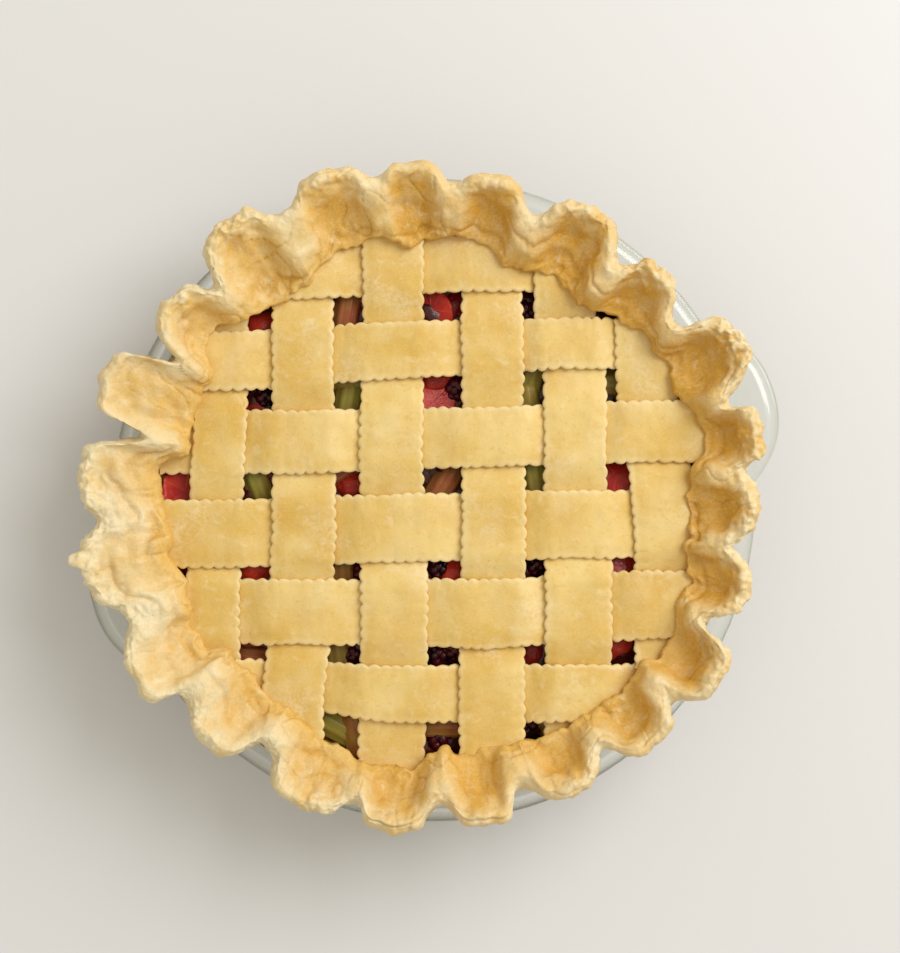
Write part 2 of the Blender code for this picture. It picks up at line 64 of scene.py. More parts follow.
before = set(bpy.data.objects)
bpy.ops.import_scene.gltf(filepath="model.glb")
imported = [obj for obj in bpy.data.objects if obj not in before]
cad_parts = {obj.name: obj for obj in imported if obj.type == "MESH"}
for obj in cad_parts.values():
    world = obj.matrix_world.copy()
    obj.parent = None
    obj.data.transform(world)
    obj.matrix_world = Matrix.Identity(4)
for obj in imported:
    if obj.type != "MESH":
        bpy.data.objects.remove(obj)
CAD_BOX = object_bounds()

GAP = 0.0003
TINY = 1e-9
DISH_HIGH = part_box("glass_dish")[1][2]

# Dish: radii and thicknesses of its section, and the tabs that its flange is drawn out into.
BASE_RADIUS = 0.0860
WELL_RADIUS = 0.1124
DISH_FLOOR = 0.0045
FLANGE_THICKNESS = 0.0036
DISH_WALL = 0.0050
BEAD_WIDTH = 0.0056
BEAD_DEPTH = 0.0020
TAB_ANGLES = (18.0, 198.0)
TAB_HALF_ANGLE = 15.0
DISH_STEPS = 352
FLANGE_START = WELL_RADIUS + 0.0061
WELD = 0.000004

# Pastry case: the lining, and the heights at the foot of the rim that stands on the flange.
LINING_THICKNESS = 0.0035
FOOT_BOTTOM = 0.0430
FOOT_TOP = 0.0515
CREST_SPREAD = 0.0014
RIM_UNDERSIDE = DISH_HIGH + 0.0004
OUTER_BREADTH = 0.82
INNER_BREADTH = 0.28
RIM_PARTS = (3, 10, 12, 14, 12, 11, 12, 9, 3)
CRUST_STEPS = 1500
CRUST_KEPT = 0.64
DRAWN_AT = 160.0
CREST_RING = 0.128
FOOT_RING = 0.104

# Each flute is a lobe pressed outward and the ridge pinched in after it, counter-clockwise:
# lobe angle, its outer radius, its inner foot, ridge angle, its outer radius, its inner foot,
# how far the lobe's pocket is hollowed out, and how square the lobe is.
FLUTES = (
    (-2.0, 0.1255, 0.1010, 5.5, 0.1220, 0.1060, 0.0008, 1.3),
    (12.0, 0.1297, 0.1095, 18.5, 0.1205, 0.1090, 0.0014, 1.8),
    (27.5, 0.1340, 0.1076, 36.5, 0.1166, 0.1060, 0.0018, 1.4),
    (45.0, 0.1259, 0.1005, 52.0, 0.1165, 0.0960, 0.0012, 1.2),
    (60.5, 0.1290, 0.0998, 70.5, 0.1180, 0.0965, 0.0016, 1.5),
    (80.0, 0.1278, 0.1025, 86.5, 0.1240, 0.1048, 0.0012, 1.2),
    (94.5, 0.1317, 0.1033, 100.5, 0.1278, 0.1045, 0.0016, 1.4),
    (108.5, 0.1340, 0.1048, 117.5, 0.1259, 0.1010, 0.0016, 1.3),
    (127.0, 0.1348, 0.0986, 136.0, 0.1193, 0.1033, 0.0018, 1.3),
    (143.0, 0.1286, 0.1090, 151.5, 0.1154, 0.1013, 0.0004, 1.5),
    (160.0, 0.1370, 0.0998, 167.5, 0.1170, 0.0986, -0.0006, 2.4),
    (175.5, 0.1374, 0.1072, 183.0, 0.1313, 0.1064, -0.0008, 2.0),
    (191.0, 0.1374, 0.1050, 201.5, 0.1274, 0.1033, -0.0012, 1.4),
    (211.0, 0.1350, 0.1064, 218.5, 0.1243, 0.0998, -0.0004, 1.5),
    (228.0, 0.1286, 0.1010, 235.0, 0.1158, 0.0998, 0.0000, 1.4),
    (247.5, 0.1290, 0.1040, 255.0, 0.1216, 0.1070, 0.0004, 1.3),
    (262.5, 0.1290, 0.1060, 271.5, 0.1178, 0.0994, 0.0014, 1.5),
    (279.0, 0.1266, 0.0994, 287.0, 0.1166, 0.1005, 0.0014, 1.5),
    (297.0, 0.1259, 0.1033, 304.0, 0.1166, 0.1025, 0.0014, 1.3),
    (312.5, 0.1278, 0.1064, 320.0, 0.1212, 0.1029, 0.0014, 1.4),
    (327.5, 0.1313, 0.1084, 336.0, 0.1154, 0.1048, 0.0016, 1.6),
    (344.0, 0.1270, 0.1080, 351.5, 0.1178, 0.1017, 0.0012, 1.4),
)
# Torn tongues of dough on the crest: angle, half width in degrees, how far out, how far down.
RAGS = (
    (189.3, 1.3, 0.0060, 0.0012), (192.4, 1.8, 0.0024, 0.0002), (182.0, 1.0, 0.0034, 0.0016),
    (177.5, 0.7, 0.0014, 0.0010), (28.6, 1.1, 0.0026, 0.0016), (25.3, 0.6, 0.0018, 0.0010),
    (33.0, 1.0, 0.0018, 0.0008), (12.5, 0.8, 0.0014, 0.0008), (3.0, 0.7, 0.0020, 0.0014),
    (353.0, 0.8, 0.0018, 0.0016), (236.5, 0.6, 0.0018, 0.0004), (250.0, 0.6, 0.0012, 0.0004),
    (146.0, 0.9, 0.0010, 0.0002), (120.0, 0.9, 0.0012, 0.0004), (63.0, 0.7, 0.0012, 0.0006),
)

# Stretches of crest that were left ragged: angle, half width in degrees, strength.
RAGGED = (
    (190.0, 11.0, 0.7), (177.0, 5.0, 0.7), (138.0, 9.0, 0.9), (126.0, 5.0, 0.7), (28.0, 7.0, 1.4),
    (8.0, 9.0, 1.0), (48.0, 8.0, 0.9), (66.0, 6.0, 0.7), (82.0, 5.0, 0.4), (336.0, 10.0, 0.8),
    (300.0, 6.0, 0.6), (236.0, 4.0, 0.8), (250.0, 5.0, 0.5), (352.0, 7.0, 1.0), (316.0, 5.0, 0.4),
    (108.0, 5.0, 0.4), (203.0, 5.0, 0.5),
)
# Stretches of the rim's foot that were pinched and tore: angle, half width in degrees, strength.
FOOT_TORN = (
    (91.0, 7.0, 1.0), (60.0, 8.0, 1.0), (357.0, 7.0, 0.9), (129.0, 8.0, 0.9), (263.0, 7.0, 0.8),
    (212.0, 8.0, 1.0), (187.0, 8.0, 0.8), (30.0, 8.0, 0.8), (340.0, 7.0, 0.7), (170.0, 6.0, 0.8),
    (150.0, 6.0, 0.6), (291.0, 6.0, 0.7), (108.0, 6.0, 0.6), (232.0, 6.0, 0.6), (315.0, 6.0, 0.5),
)
# Stretches of the rim whose inner walls face away from the light, painted with golden shade all over,
# and stretches whose pockets get the darkest painted shade: angle, half width in degrees, strength.
SHADED_SIDE = ((40.0, 62.0, 0.52), (302.0, 58.0, 0.24))
SHADED_POCKETS = ((40.0, 66.0, 0.85), (285.0, 60.0, 0.20))
# Creases where the crest was folded over: angle, half width in degrees, place across, depth.
CREASES = (
    (263.5, 6.5, 5.15, 0.0011), (279.5, 5.0, 5.15, 0.0010), (312.0, 5.0, 4.9, 0.0006),
    (297.0, 5.0, 5.2, 0.0006), (127.0, 4.0, 3.9, 0.0008), (80.0, 6.0, 2.2, 0.0009),
    (94.0, 5.0, 1.9, 0.0008), (60.0, 6.0, 2.3, 0.0009), (44.0, 5.0, 2.4, 0.0009),
    (27.0, 6.0, 4.6, 0.0008), (210.0, 6.0, 5.4, 0.0004), (160.0, 3.5, 1.9, 0.0006),
    (342.0, 5.0, 2.2, 0.0008), (354.0, 5.0, 2.0, 0.0009), (228.0, 5.0, 1.9, 0.0006),
    (180.0, 6.0, 3.3, 0.0013), (187.0, 5.0, 2.4, 0.0013), (196.0, 6.0, 3.7, 0.0012),
    (172.0, 4.0, 2.8, 0.0010), (204.0, 5.0, 2.6, 0.0012), (214.0, 6.0, 2.3, 0.0010),
    (222.0, 5.0, 3.2, 0.0009), (122.0, 5.0, 2.2, 0.0010), (108.0, 6.0, 1.9, 0.0009),
    (70.0, 5.0, 3.2, 0.0009), (53.0, 5.0, 3.4, 0.0008), (36.0, 5.0, 2.5, 0.0010),
    (12.0, 5.0, 2.3, 0.0010), (330.0, 5.0, 3.6, 0.0008), (246.0, 6.0, 2.2, 0.0008),
    (285.0, 5.0, 2.4, 0.0009), (148.0, 5.0, 2.5, 0.0009),
)
# Folds of dough that lap in over the strips at the rim's foot: angle, half width, reach in, lift.
FLAPS = (
    (4.5, 5.0, 0.0056, 0.0010), (24.5, 4.2, 0.0046, 0.0006), (34.0, 2.6, 0.0018, 0.0004),
    (57.5, 3.2, 0.0018, 0.0010), (75.0, 3.0, 0.0024, 0.0012), (88.0, 2.6, 0.0014, 0.0004),
    (95.5, 3.2, 0.0034, 0.0012), (121.0, 3.0, 0.0016, 0.0008), (134.0, 2.4, 0.0020, 0.0012),
    (152.0, 3.6, 0.0012, 0.0010), (170.0, 2.2, 0.0010, 0.0006), (187.0, 3.2, 0.0016, 0.0012),
    (198.5, 1.8, 0.0022, 0.0014), (215.0, 2.6, 0.0018, 0.0012), (224.0, 3.4, 0.0022, 0.0010),
    (247.0, 3.0, 0.0010, 0.0004), (262.0, 3.0, 0.0012, 0.0006), (272.6, 1.6, 0.0030, 0.0006),
    (291.0, 2.0, 0.0018, 0.0008), (309.0, 2.6, 0.0014, 0.0004), (325.0, 3.0, 0.0016, 0.0010),
    (339.0, 2.6, 0.0022, 0.0012), (346.5, 4.0, 0.0048, 0.0008),
)

# Lattice: a weave whose middle level is a shallow dome over the filling.
WEAVE_GAP = 0.0004
WEAVE_RADIUS = 0.1030
CROSSING_MARGIN = 0.0004
SLOPE_TUCK = 0.0052
STRIP_TUCK = 0.0026
STRIP_END_WIDTH = 0.0040
STRIP_STEP = 0.00056
STRIP_ROWS = 26
SHARP_EDGE = math.radians(55.0)

# Strips that run along Y, left to right: (y, centre x, width) at points along each.
STRIPS_ALONG_Y = (
    ((0.0314, -0.0837, 0.0211), (0.0040, -0.0854, 0.0211), (-0.0390, -0.0868, 0.0211)),
    ((0.0705, -0.0516, 0.0243), (-0.0109, -0.0508, 0.0250), (-0.0586, -0.0532, 0.0250),
     (-0.0743, -0.0551, 0.0243)),
    ((0.0744, -0.0160, 0.0238), (0.0216, -0.0168, 0.0246), (-0.0273, -0.0156, 0.0258),
     (-0.0645, -0.0156, 0.0266), (-0.0977, -0.0168, 0.0266)),
    ((0.0783, 0.0227, 0.0239), (-0.0077, 0.0235, 0.0250), (-0.0625, 0.0227, 0.0258)),
    ((0.0744, 0.0512, 0.0243), (0.0509, 0.0552, 0.0246), (0.0059, 0.0552, 0.0246),
     (-0.0234, 0.0568, 0.0262)),
    ((0.0509, 0.0830, 0.0239), (0.0392, 0.0842, 0.0239), (0.0079, 0.0893, 0.0250),
     (-0.0195, 0.0908, 0.0243), (-0.0567, 0.0904, 0.0235)),
)
# Strips that run along X, far to near: (x, centre y, width) at points along each.
STRIPS_ALONG_X = (
    ((-0.0504, 0.0908, 0.0235), (0.0161, 0.0932, 0.0227)),
    ((-0.0778, 0.0545, 0.0235), (-0.0152, 0.0588, 0.0223), (0.0521, 0.0615, 0.0200)),
    ((-0.0524, 0.0228, 0.0250), (0.0180, 0.0247, 0.0235), (0.0885, 0.0271, 0.0243)),
    ((-0.0837, -0.0132, 0.0266), (-0.0152, -0.0109, 0.0266), (0.0572, -0.0093, 0.0266)),
    ((-0.0524, -0.0437, 0.0254), (0.0200, -0.0445, 0.0270), (0.0865, -0.0410, 0.0270)),
    ((-0.0759, -0.0711, 0.0176), (-0.0172, -0.0758, 0.0223), (0.0493, -0.0758, 0.0227)),
)

# Half length, half breadth and half height of the pieces of fruit.
FRUIT_SIZES = {
    "berry": (0.0115, 0.0085, 0.0080),
    "slice": (0.0115, 0.0085, 0.0080),
    "stalk": (0.0095, 0.0065, 0.0060),
    "dark": (0.0072, 0.0072, 0.0070),
}
# Fruit that shows between the strips: kind, x, y, turn in degrees, and tone, which runs from dark
# to bright on strawberries, from green to pink on rhubarb and from black to wine red on dark berries.
FRUIT = (
    ("berry", -0.0675, 0.0690, 20, 0.55), ("stalk", -0.0345, 0.0745, 80, 0.85),
    ("dark", -0.0270, 0.0800, 0, 0.60), ("slice", -0.0010, 0.0755, 100, 0.95),
    ("berry", 0.0090, 0.0770, 60, 0.10), ("dark", 0.0360, 0.0745, 95, 0.15),
    ("dark", -0.0670, 0.0410, 0, 0.05), ("berry", -0.0720, 0.0350, 150, 0.35),
    ("stalk", -0.0335, 0.0405, 80, 0.12), ("stalk", -0.0330, 0.0490, 0, 0.25),
    ("slice", 0.0005, 0.0390, 40, 0.80), ("dark", 0.0095, 0.0440, 0, 0.15),
    ("berry", 0.0010, 0.0490, 15, 0.30), ("stalk", 0.0380, 0.0475, 75, 0.05),
    ("stalk", 0.0370, 0.0370, 100, 0.15), ("stalk", 0.0695, 0.0460, 0, 0.30),
    ("slice", -0.0990, 0.0030, 10, 0.60), ("stalk", -0.0690, 0.0050, 110, 0.15),
    ("dark", -0.0630, 0.0110, 0, 0.50), ("berry", -0.0330, 0.0060, 130, 0.45),
    ("stalk", -0.0370, 0.0130, 30, 0.95), ("stalk", 0.0040, 0.0060, 60, 0.75),
    ("dark", 0.0050, 0.0140, 0, 0.45), ("stalk", 0.0400, 0.0080, 100, 0.08),
    ("slice", 0.0720, 0.0100, 70, 0.45), ("berry", -0.0935, -0.0280, 0, 0.25),
    ("berry", -0.0690, -0.0270, 10, 0.85), ("stalk", -0.0370, -0.0270, 90, 0.65),
    ("dark", -0.0280, -0.0290, 0, 0.40), ("dark", 0.0010, -0.0270, 0, 0.05),
    ("berry", 0.0095, -0.0275, 85, 0.70), ("dark", 0.0400, -0.0260, 0, 0.10),
    ("slice", 0.0740, -0.0255, 0, 0.75), ("berry", -0.0710, -0.0560, 5, 0.40),
    ("stalk", -0.0700, -0.0640, 175, 0.90), ("stalk", -0.0390, -0.0600, 95, 0.35),
    ("dark", -0.0310, -0.0620, 0, 0.20), ("dark", 0.0010, -0.0610, 0, 0.10),
    ("dark", 0.0085, -0.0600, 0, 0.20), ("berry", 0.0390, -0.0590, 90, 0.25),
    ("berry", 0.0740, -0.0560, 30, 0.60), ("stalk", -0.0380, -0.0900, 150, 0.08),
    ("stalk", -0.0300, -0.0930, 100, 0.60), ("stalk", 0.0030, -0.0890, 0, 0.70),
    ("dark", 0.0020, -0.0960, 0, 0.25), ("dark", 0.0370, -0.0890, 0, 0.05),
    ("stalk", 0.0450, -0.0890, 140, 0.30),
)
FRUIT_CLEARANCE = 0.0004
FRUIT_DROP = 0.0016
STRAWBERRY_SEEDS = 90
DRUPELETS = 44
DRUPELET_RADIUS = 0.36
SLICE_LEAN = (0.16, 0.10, 1.0)
SLICE_RINGS = (0.90, 0.86, 0.80, 0.72, 0.60, 0.40)
SLICE_SINK = 0.00005
STALK_LENGTHS = 12
STALK_INSETS = (0.12, 0.30)
SEED_COLOUR = (0.55, 0.30, 0.07)
CUT_COLOUR = (0.36, 0.34, 0.15)

# Finishes: the four colours that each dough has, and how the shaders reflect and bend light.
DOUGH_TONES = ("Dough", "Buttery", "Dry", "Pressed")
DOUGH_SPECULAR = 0.38
GLASS_IOR = 1.47

# Start of the random draws.
SEED = 7

# Stage: the floor, the soft light, the surroundings, and the camera over the pie.
FLOOR_SIZE = 14.0
KEY_PLACE = (1.15, 0.85, 1.35)
KEY_SIZE = 1.5
KEY_COLOUR = (1.0, 0.995, 0.985)
SKY_COLOUR = (1.0, 0.935, 0.80, 1.0)
CAMERA_X, CAMERA_Y = 0.0063, 0.0093
SENSOR_WIDTH = 36.0
VIEW_DISTANCE = 0.75
VIEW_WIDTH = 0.3759


# Place of each point of the rim's section between its control points, which are numbered from 0.
CONTROL_AT = np.concatenate(
    [index + np.arange(parts) / parts for index, parts in enumerate(RIM_PARTS)] + [[len(RIM_PARTS)]])


def colour_setting(name, description, default):
    """A colour that a user can change."""
    return FloatVectorProperty(
        name=name, description=description, default=default, size=3, min=0.0, max=1.0, subtype="COLOR")


def length_setting(name, description, default, low, high):
    """A length in metres that a user can change."""
    return FloatProperty(
        name=name, description=description, default=default, min=low, max=high, unit="LENGTH")


class DishSettings(bpy.types.PropertyGroup):
    """Sizes and tint of the clear dish."""

    rim_radius: length_setting(
        "Rim radius", "Radius of the flange's edge between the tabs", 0.1270, 0.12, 0.14)
    tab_reach: length_setting(
        "Tab reach", "How far each tab handle stands out from the flange", 0.0142, 0.0, 0.02)
    tint: colour_setting(
        "Glass tint", "Colour that the glass takes where it is thick", (0.92, 0.945, 0.905))
    edge_tint: colour_setting(
        "Edge tint", "Colour of the glass seen through its thick edge", (0.80, 0.86, 0.77))
    shadow_tint: colour_setting(
        "Shadow tint", "Colour of the light that the glass lets through", (0.97, 0.98, 0.965))


class CrustSettings(bpy.types.PropertyGroup):
    """Sizes and colours of the pastry case and its fluted rim."""

    lobe_crest: length_setting(
        "Lobe crest", "Height of the rim's crest on the lobes", 0.0664, 0.05, 0.08)
    ridge_crest: length_setting(
        "Ridge crest", "Height of the rim's crest on the pinched ridges", 0.0630, 0.05, 0.08)
    lump: length_setting("Lumps", "Height of the soft lumps that fingers left", 0.00080, 0.0, 0.002)
    crack: length_setting(
        "Cracks", "Depth of the cracks across the stretched crest", 0.0009, 0.0, 0.003)
    dough: colour_setting("Dough", "Colour of the raw rim dough", (0.78, 0.545, 0.190))
    buttery: colour_setting("Buttery dough", "Colour of the yellower blotches", (0.74, 0.45, 0.095))
    # The dry colour also paints light on the rim's ridges and on its left side, besides colouring the
    # drier crest and crumbs.
    dry: colour_setting("Dry crest", "Colour of the drier crest and crumbs", (0.82, 0.70, 0.44))
    # On the rim the pressed colour is painted shade: it darkens the pockets, creases, cracks and foot,
    # and the side whose inner walls face away from the light; it also colours the freckles.
    pressed: colour_setting(
        "Pressed pockets", "Colour of the dough where a thumb pressed it smooth", (0.615, 0.318, 0.020))


class StripSettings(bpy.types.PropertyGroup):
    """Sizes and colours of the woven strips."""

    thickness: length_setting("Thickness", "Thickness of the rolled dough", 0.0028, 0.001, 0.005)
    pinking_pitch: length_setting(
        "Pinking pitch", "Length of one scallop of the cut edge", 0.0046, 0.002, 0.01)
    pinking_depth: length_setting(
        "Pinking depth", "How far the scallops stand out and in", 0.00045, 0.0, 0.002)
    centre_height: length_setting(
        "Height at the centre", "Middle level of the weave over the pie's centre", 0.0505, 0.04, 0.06)
    edge_height: length_setting(
        "Height at the rim", "Middle level of the weave at the rim's foot", 0.0470, 0.04, 0.06)
    dough: colour_setting("Dough", "Colour of the rolled strip dough", (0.80, 0.590, 0.212))
    buttery: colour_setting("Buttery dough", "Colour of the yellower blotches", (0.68, 0.425, 0.076))
    pressed: colour_setting(
        "Rolled dough", "Colour of the dough where the roller pressed it smooth", (0.68, 0.41, 0.085))
    dry: colour_setting("Dry edge", "Colour of the drier cut edges", (0.84, 0.68, 0.37))
    flour: colour_setting("Flour", "Colour of the flour dusted on the dough", (0.90, 0.84, 0.70))


class FruitSettings(bpy.types.PropertyGroup):
    """Colours of the fruit between the strips."""

    strawberry_dark: colour_setting(
        "Dark strawberry", "Skin of the ripest strawberries", (0.16, 0.006, 0.008))
    strawberry_bright: colour_setting(
        "Bright strawberry", "Skin of the brightest strawberries", (0.80, 0.060, 0.030))
    flesh: colour_setting(
        "Strawberry flesh", "Cut face of a strawberry at its heart", (0.38, 0.014, 0.010))
    stalk_green: colour_setting("Green rhubarb", "Skin of green rhubarb", (0.32, 0.285, 0.050))
    stalk_pink: colour_setting("Pink rhubarb", "Skin of pink rhubarb", (0.34, 0.070, 0.034))
    berry_black: colour_setting("Black berry", "The darkest berries", (0.014, 0.004, 0.008))
    berry_wine: colour_setting(
        "Wine red berry", "The reddest of the dark berries", (0.24, 0.012, 0.018))
    juice: colour_setting("Juice", "Sugary juice over the bed of fruit", (0.11, 0.012, 0.008))


class StageSettings(bpy.types.PropertyGroup):
    """Floor, lights and camera."""

    floor: colour_setting("Floor", "Colour of the plain floor", (0.765, 0.77, 0.785))
    key_power: FloatProperty(
        name="Key light", description="Power of the soft light from the far right",
        default=27.0, min=0.0, unit="POWER")
    sky: FloatProperty(
        name="Fill", description="Brightness of the pale surroundings", default=0.65, min=0.0)
    camera_height: length_setting(
        "Camera height", "Height of the camera over the floor", 0.794, 0.4, 2.0)


def read_points(mesh):
    """The mesh's points as an array, one row each."""
    flat = np.empty(len(mesh.vertices) * 3, dtype=np.float32)
    mesh.vertices.foreach_get("co", flat)
    return flat.reshape(-1, 3).astype(np.float64)


def write_points(mesh, points):
    """Puts moved points back into the mesh."""
    mesh.vertices.foreach_set("co", points.astype(np.float32).ravel())
    mesh.update()


def read_normals(mesh):
    """The mesh's point normals as an array."""
    flat = np.empty(len(mesh.vertices) * 3, dtype=np.float32)
    mesh.vertices.foreach_get("normal", flat)
    return flat.reshape(-1, 3).astype(np.float64)


def read_values(mesh, name):
    """A per-point value of the mesh as an array."""
    values = np.empty(len(mesh.vertices), dtype=np.float32)
    mesh.attributes[name].data.foreach_get("value", values)
    return values.astype(np.float64)


def write_values(mesh, name, values):
    """Stores a per-point value on the mesh, for a material to read."""
    stored = mesh.attributes.get(name) or mesh.attributes.new(name, "FLOAT", "POINT")
    stored.data.foreach_set("value", np.asarray(values, dtype=np.float32))


def polar(points):
    """Radius of points from the Z axis, and their angle in degrees."""
    return np.hypot(points[:, 0], points[:, 1]), np.degrees(np.arctan2(points[:, 1], points[:, 0]))


def scale_out(points, factor):
    """Moves points towards or away from the Z axis by a factor each."""
    points[:, :2] *= factor[:, None]


def on_ring(angles, radius):
    """Points on a level ring round the pie at angles in degrees."""
    turn = np.radians(angles)
    return np.stack([radius * np.cos(turn), radius * np.sin(turn), 0.0 * turn], axis=1)


def near_angle(around, angle, half_width):
    """1 at an angle, falling smoothly to 0 a little past the half width on each side."""
    away = (around - angle + 180.0) % 360.0 - 180.0
    return np.exp(-np.abs(away / half_width) ** 3)


def hump(values, middle, width):
    """1 where the values reach the middle, falling off smoothly about a width away."""
    return np.exp(-((values - middle) / width) ** 2)


def ease(values, low, high):
    """0 below low, 1 above high and a smooth rise between."""
    share = np.clip((values - low) / (high - low), 0.0, 1.0)
    return share * share * (3.0 - 2.0 * share)


def soft_noise(points, grain, seed):
    """Smooth noise from about -1 to 1 at points, in lumps about one grain across."""
    leans = np.random.default_rng(seed).normal(size=(4096, 3))
    leans /= np.linalg.norm(leans, axis=1, keepdims=True)
    cell = points / grain
    low = np.floor(cell).astype(np.int64)
    part = cell - low
    fade = part ** 3 * (part * (part * 6.0 - 15.0) + 10.0)
    total = np.zeros(len(points))
    for corner in np.ndindex(2, 2, 2):
        spot = low + corner
        key = (spot[:, 0] * 73856093) ^ (spot[:, 1] * 19349663) ^ (spot[:, 2] * 83492791)
        pull = np.einsum("ij,ij->i", leans[key & 4095], part - corner)
        total += pull * np.prod(np.where(corner, fade, 1.0 - fade), axis=1)
    return total * 1.7


def round_corners(controls, passes):
    """Cuts the corners of a run of points again and again, along axis 0, and keeps its ends."""
    run = np.asarray(controls, dtype=np.float64)
    for _ in range(passes):
        cut = np.stack([run[:-1] * 0.75 + run[1:] * 0.25, run[:-1] * 0.25 + run[1:] * 0.75], axis=1)
        run = np.concatenate([run[:1], cut.reshape(-1, run.shape[1])[1:-1], run[-1:]])
    return run


def smooth_through(controls, parts_between):
    """A smooth curve through the control points of each section, along axis 1."""
    before = 2.0 * controls[:, :1] - controls[:, 1:2]
    after = 2.0 * controls[:, -1:] - controls[:, -2:-1]
    run = np.concatenate([before, controls, after], axis=1)
    pieces = []
    for index, parts in enumerate(parts_between):
        a, b, c, d = (run[:, index + offset][:, None, :] for offset in range(4))
        share = (np.arange(parts) / parts)[None, :, None]
        pieces.append(0.5 * (
            2.0 * b + (c - a) * share + (2.0 * a - 5.0 * b + 4.0 * c - d) * share ** 2
            + (3.0 * b - a - 3.0 * c + d) * share ** 3))
    pieces.append(controls[:, -1:])
    return np.concatenate(pieces, axis=1)


def point_outward(weld=0.0):
    """Turns the faces of the active piece outward, once points nearer than the weld are one."""
    bpy.ops.object.mode_set(mode="EDIT")
    bpy.ops.mesh.select_all(action="SELECT")
    if weld:
        bpy.ops.mesh.remove_doubles(threshold=weld)
    bpy.ops.mesh.normals_make_consistent(inside=False)
    bpy.ops.object.mode_set(mode="OBJECT")


def turned_piece(name, section, steps):
    """Draws a section point by point, turns it once round Z and keeps each point's station."""
    bpy.ops.object.select_all(action="DESELECT")
    bpy.ops.mesh.primitive_plane_add(size=0.01)
    piece = bpy.context.object
    piece.name = piece.data.name = name
    bpy.ops.object.mode_set(mode="EDIT")
    bpy.ops.mesh.merge(type="CENTER")
    bpy.ops.transform.translate(value=(section[0][0], 0.0, section[0][1]))
    for here, there in zip(section, section[1:]):
        move = (there[0] - here[0], 0.0, there[1] - here[1])
        bpy.ops.mesh.extrude_region_move(TRANSFORM_OT_translate={"value": move})
    bpy.ops.object.mode_set(mode="OBJECT")
    bpy.ops.object.modifier_add(type="SCREW")
    screw = piece.modifiers[0]
    screw.steps = screw.render_steps = steps
    screw.use_smooth_shade = True
    bpy.ops.object.modifier_apply(modifier=screw.name)
    write_values(piece.data, "station", np.arange(len(piece.data.vertices)) % len(section))
    point_outward(weld=WELD)
    bpy.ops.object.shade_smooth()
    return piece


def finish_piece(piece, material, slot, *nodes):
    """Gives a piece its material, hangs it under the root body and hides the CAD nodes it stands for.
    """
    piece.data.materials.clear()
    piece.data.materials.append(material)
    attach(piece, "root")
    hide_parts(*nodes)


def join_pieces(name, parts):
    """Joins like pieces into one object that sits at the origin."""
    bpy.ops.object.select_all(action="DESELECT")
    for part in parts:
        part.select_set(True)
    bpy.context.view_layer.objects.active = parts[0]
    bpy.ops.object.transform_apply(location=True, rotation=True, scale=True)
    bpy.ops.object.join()
    joined = bpy.context.object
    joined.name = joined.data.name = name
    bpy.ops.object.shade_smooth()
    return joined


def copy_piece(piece):
    """A copy of a piece with its own mesh."""
    bpy.ops.object.select_all(action="DESELECT")
    piece.select_set(True)
    bpy.context.view_layer.objects.active = piece
    bpy.ops.object.duplicate(linked=False)
    return bpy.context.object


def put(tree, kind, inputs=None, **properties):
    """Adds a shader node, sets its properties, and sets or links its inputs."""
    made = tree.nodes.new(kind)
    for name, value in properties.items():
        setattr(made, name, value)
    for name, value in (inputs or {}).items():
        if isinstance(value, bpy.types.NodeSocket):
            tree.links.new(value, made.inputs[name])
        else:
            made.inputs[name].default_value = value
    return made


def blend_colours(tree, share, low, high):
    """Mixes two colours by a share and returns the mixed colour."""
    mixed = put(tree, "ShaderNodeMix", data_type="RGBA")
    for socket, value in ((mixed.inputs[0], share), (mixed.inputs[6], low), (mixed.inputs[7], high)):
        if isinstance(value, bpy.types.NodeSocket):
            tree.links.new(value, socket)
        elif isinstance(value, float):
            socket.default_value = value
        else:
            socket.default_value = (*value, 1.0)
    return mixed.outputs[2]


def sums(tree, operation, first, second):
    """One Math node on two values."""
    made = put(tree, "ShaderNodeMath", operation=operation)
    for socket, value in zip(made.inputs, (first, second)):
        if isinstance(value, bpy.types.NodeSocket):
            tree.links.new(value, socket)
        else:
            socket.default_value = value
    return made.outputs[0]


def spread(tree, value, low, high, to_low=0.0, to_high=1.0):
    """Maps a value from one range to another, without going past the ends."""
    made = put(tree, "ShaderNodeMapRange", {
        "Value": value, "From Min": low, "From Max": high, "To Min": to_low, "To Max": to_high})
    return made.outputs[0]


def new_group(name, inputs, outputs):
    """An empty shader node group with named inputs and outputs, and its two end nodes."""
    group = bpy.data.node_groups.new(name, "ShaderNodeTree")
    for label, kind, value in inputs:
        socket = group.interface.new_socket(name=label, in_out="INPUT", socket_type=kind)
        socket.default_value = value
    for label, kind in outputs:
        group.interface.new_socket(name=label, in_out="OUTPUT", socket_type=kind)
    return group, group.nodes.new("NodeGroupInput"), group.nodes.new("NodeGroupOutput")


def stored(tree, name):
    """A value that the mesh stores for each of its points."""
    return put(tree, "ShaderNodeAttribute", attribute_name=name).outputs["Fac"]


def noise(tree, scale, detail, **more):
    """Noise on the object's own coordinates."""
    place = put(tree, "ShaderNodeTexCoord").outputs["Object"]
    inputs = {"Vector": place, "Scale": scale, "Detail": detail, **more}
    return put(tree, "ShaderNodeTexNoise", inputs).outputs["Fac"]


def group_once(name, inputs, outputs, fill):
    """A shader node group, filled when it is first asked for."""
    group = bpy.data.node_groups.get(name)
    if not group:
        group, given, result = new_group(name, inputs, outputs)
        for label, value in fill(group, given.outputs).items():
            group.links.new(value, result.inputs[label])
    return group


def new_material(name):
    """A material with its Principled shader."""
    material = bpy.data.materials.new(name)
    material.use_nodes = True
    return material, material.node_tree, material.node_tree.nodes["Principled BSDF"]


def bump(tree, height, strength, distance):
    """A normal from a height."""
    return put(tree, "ShaderNodeBump", {
        "Height": height, "Strength": strength, "Distance": distance}).outputs["Normal"]


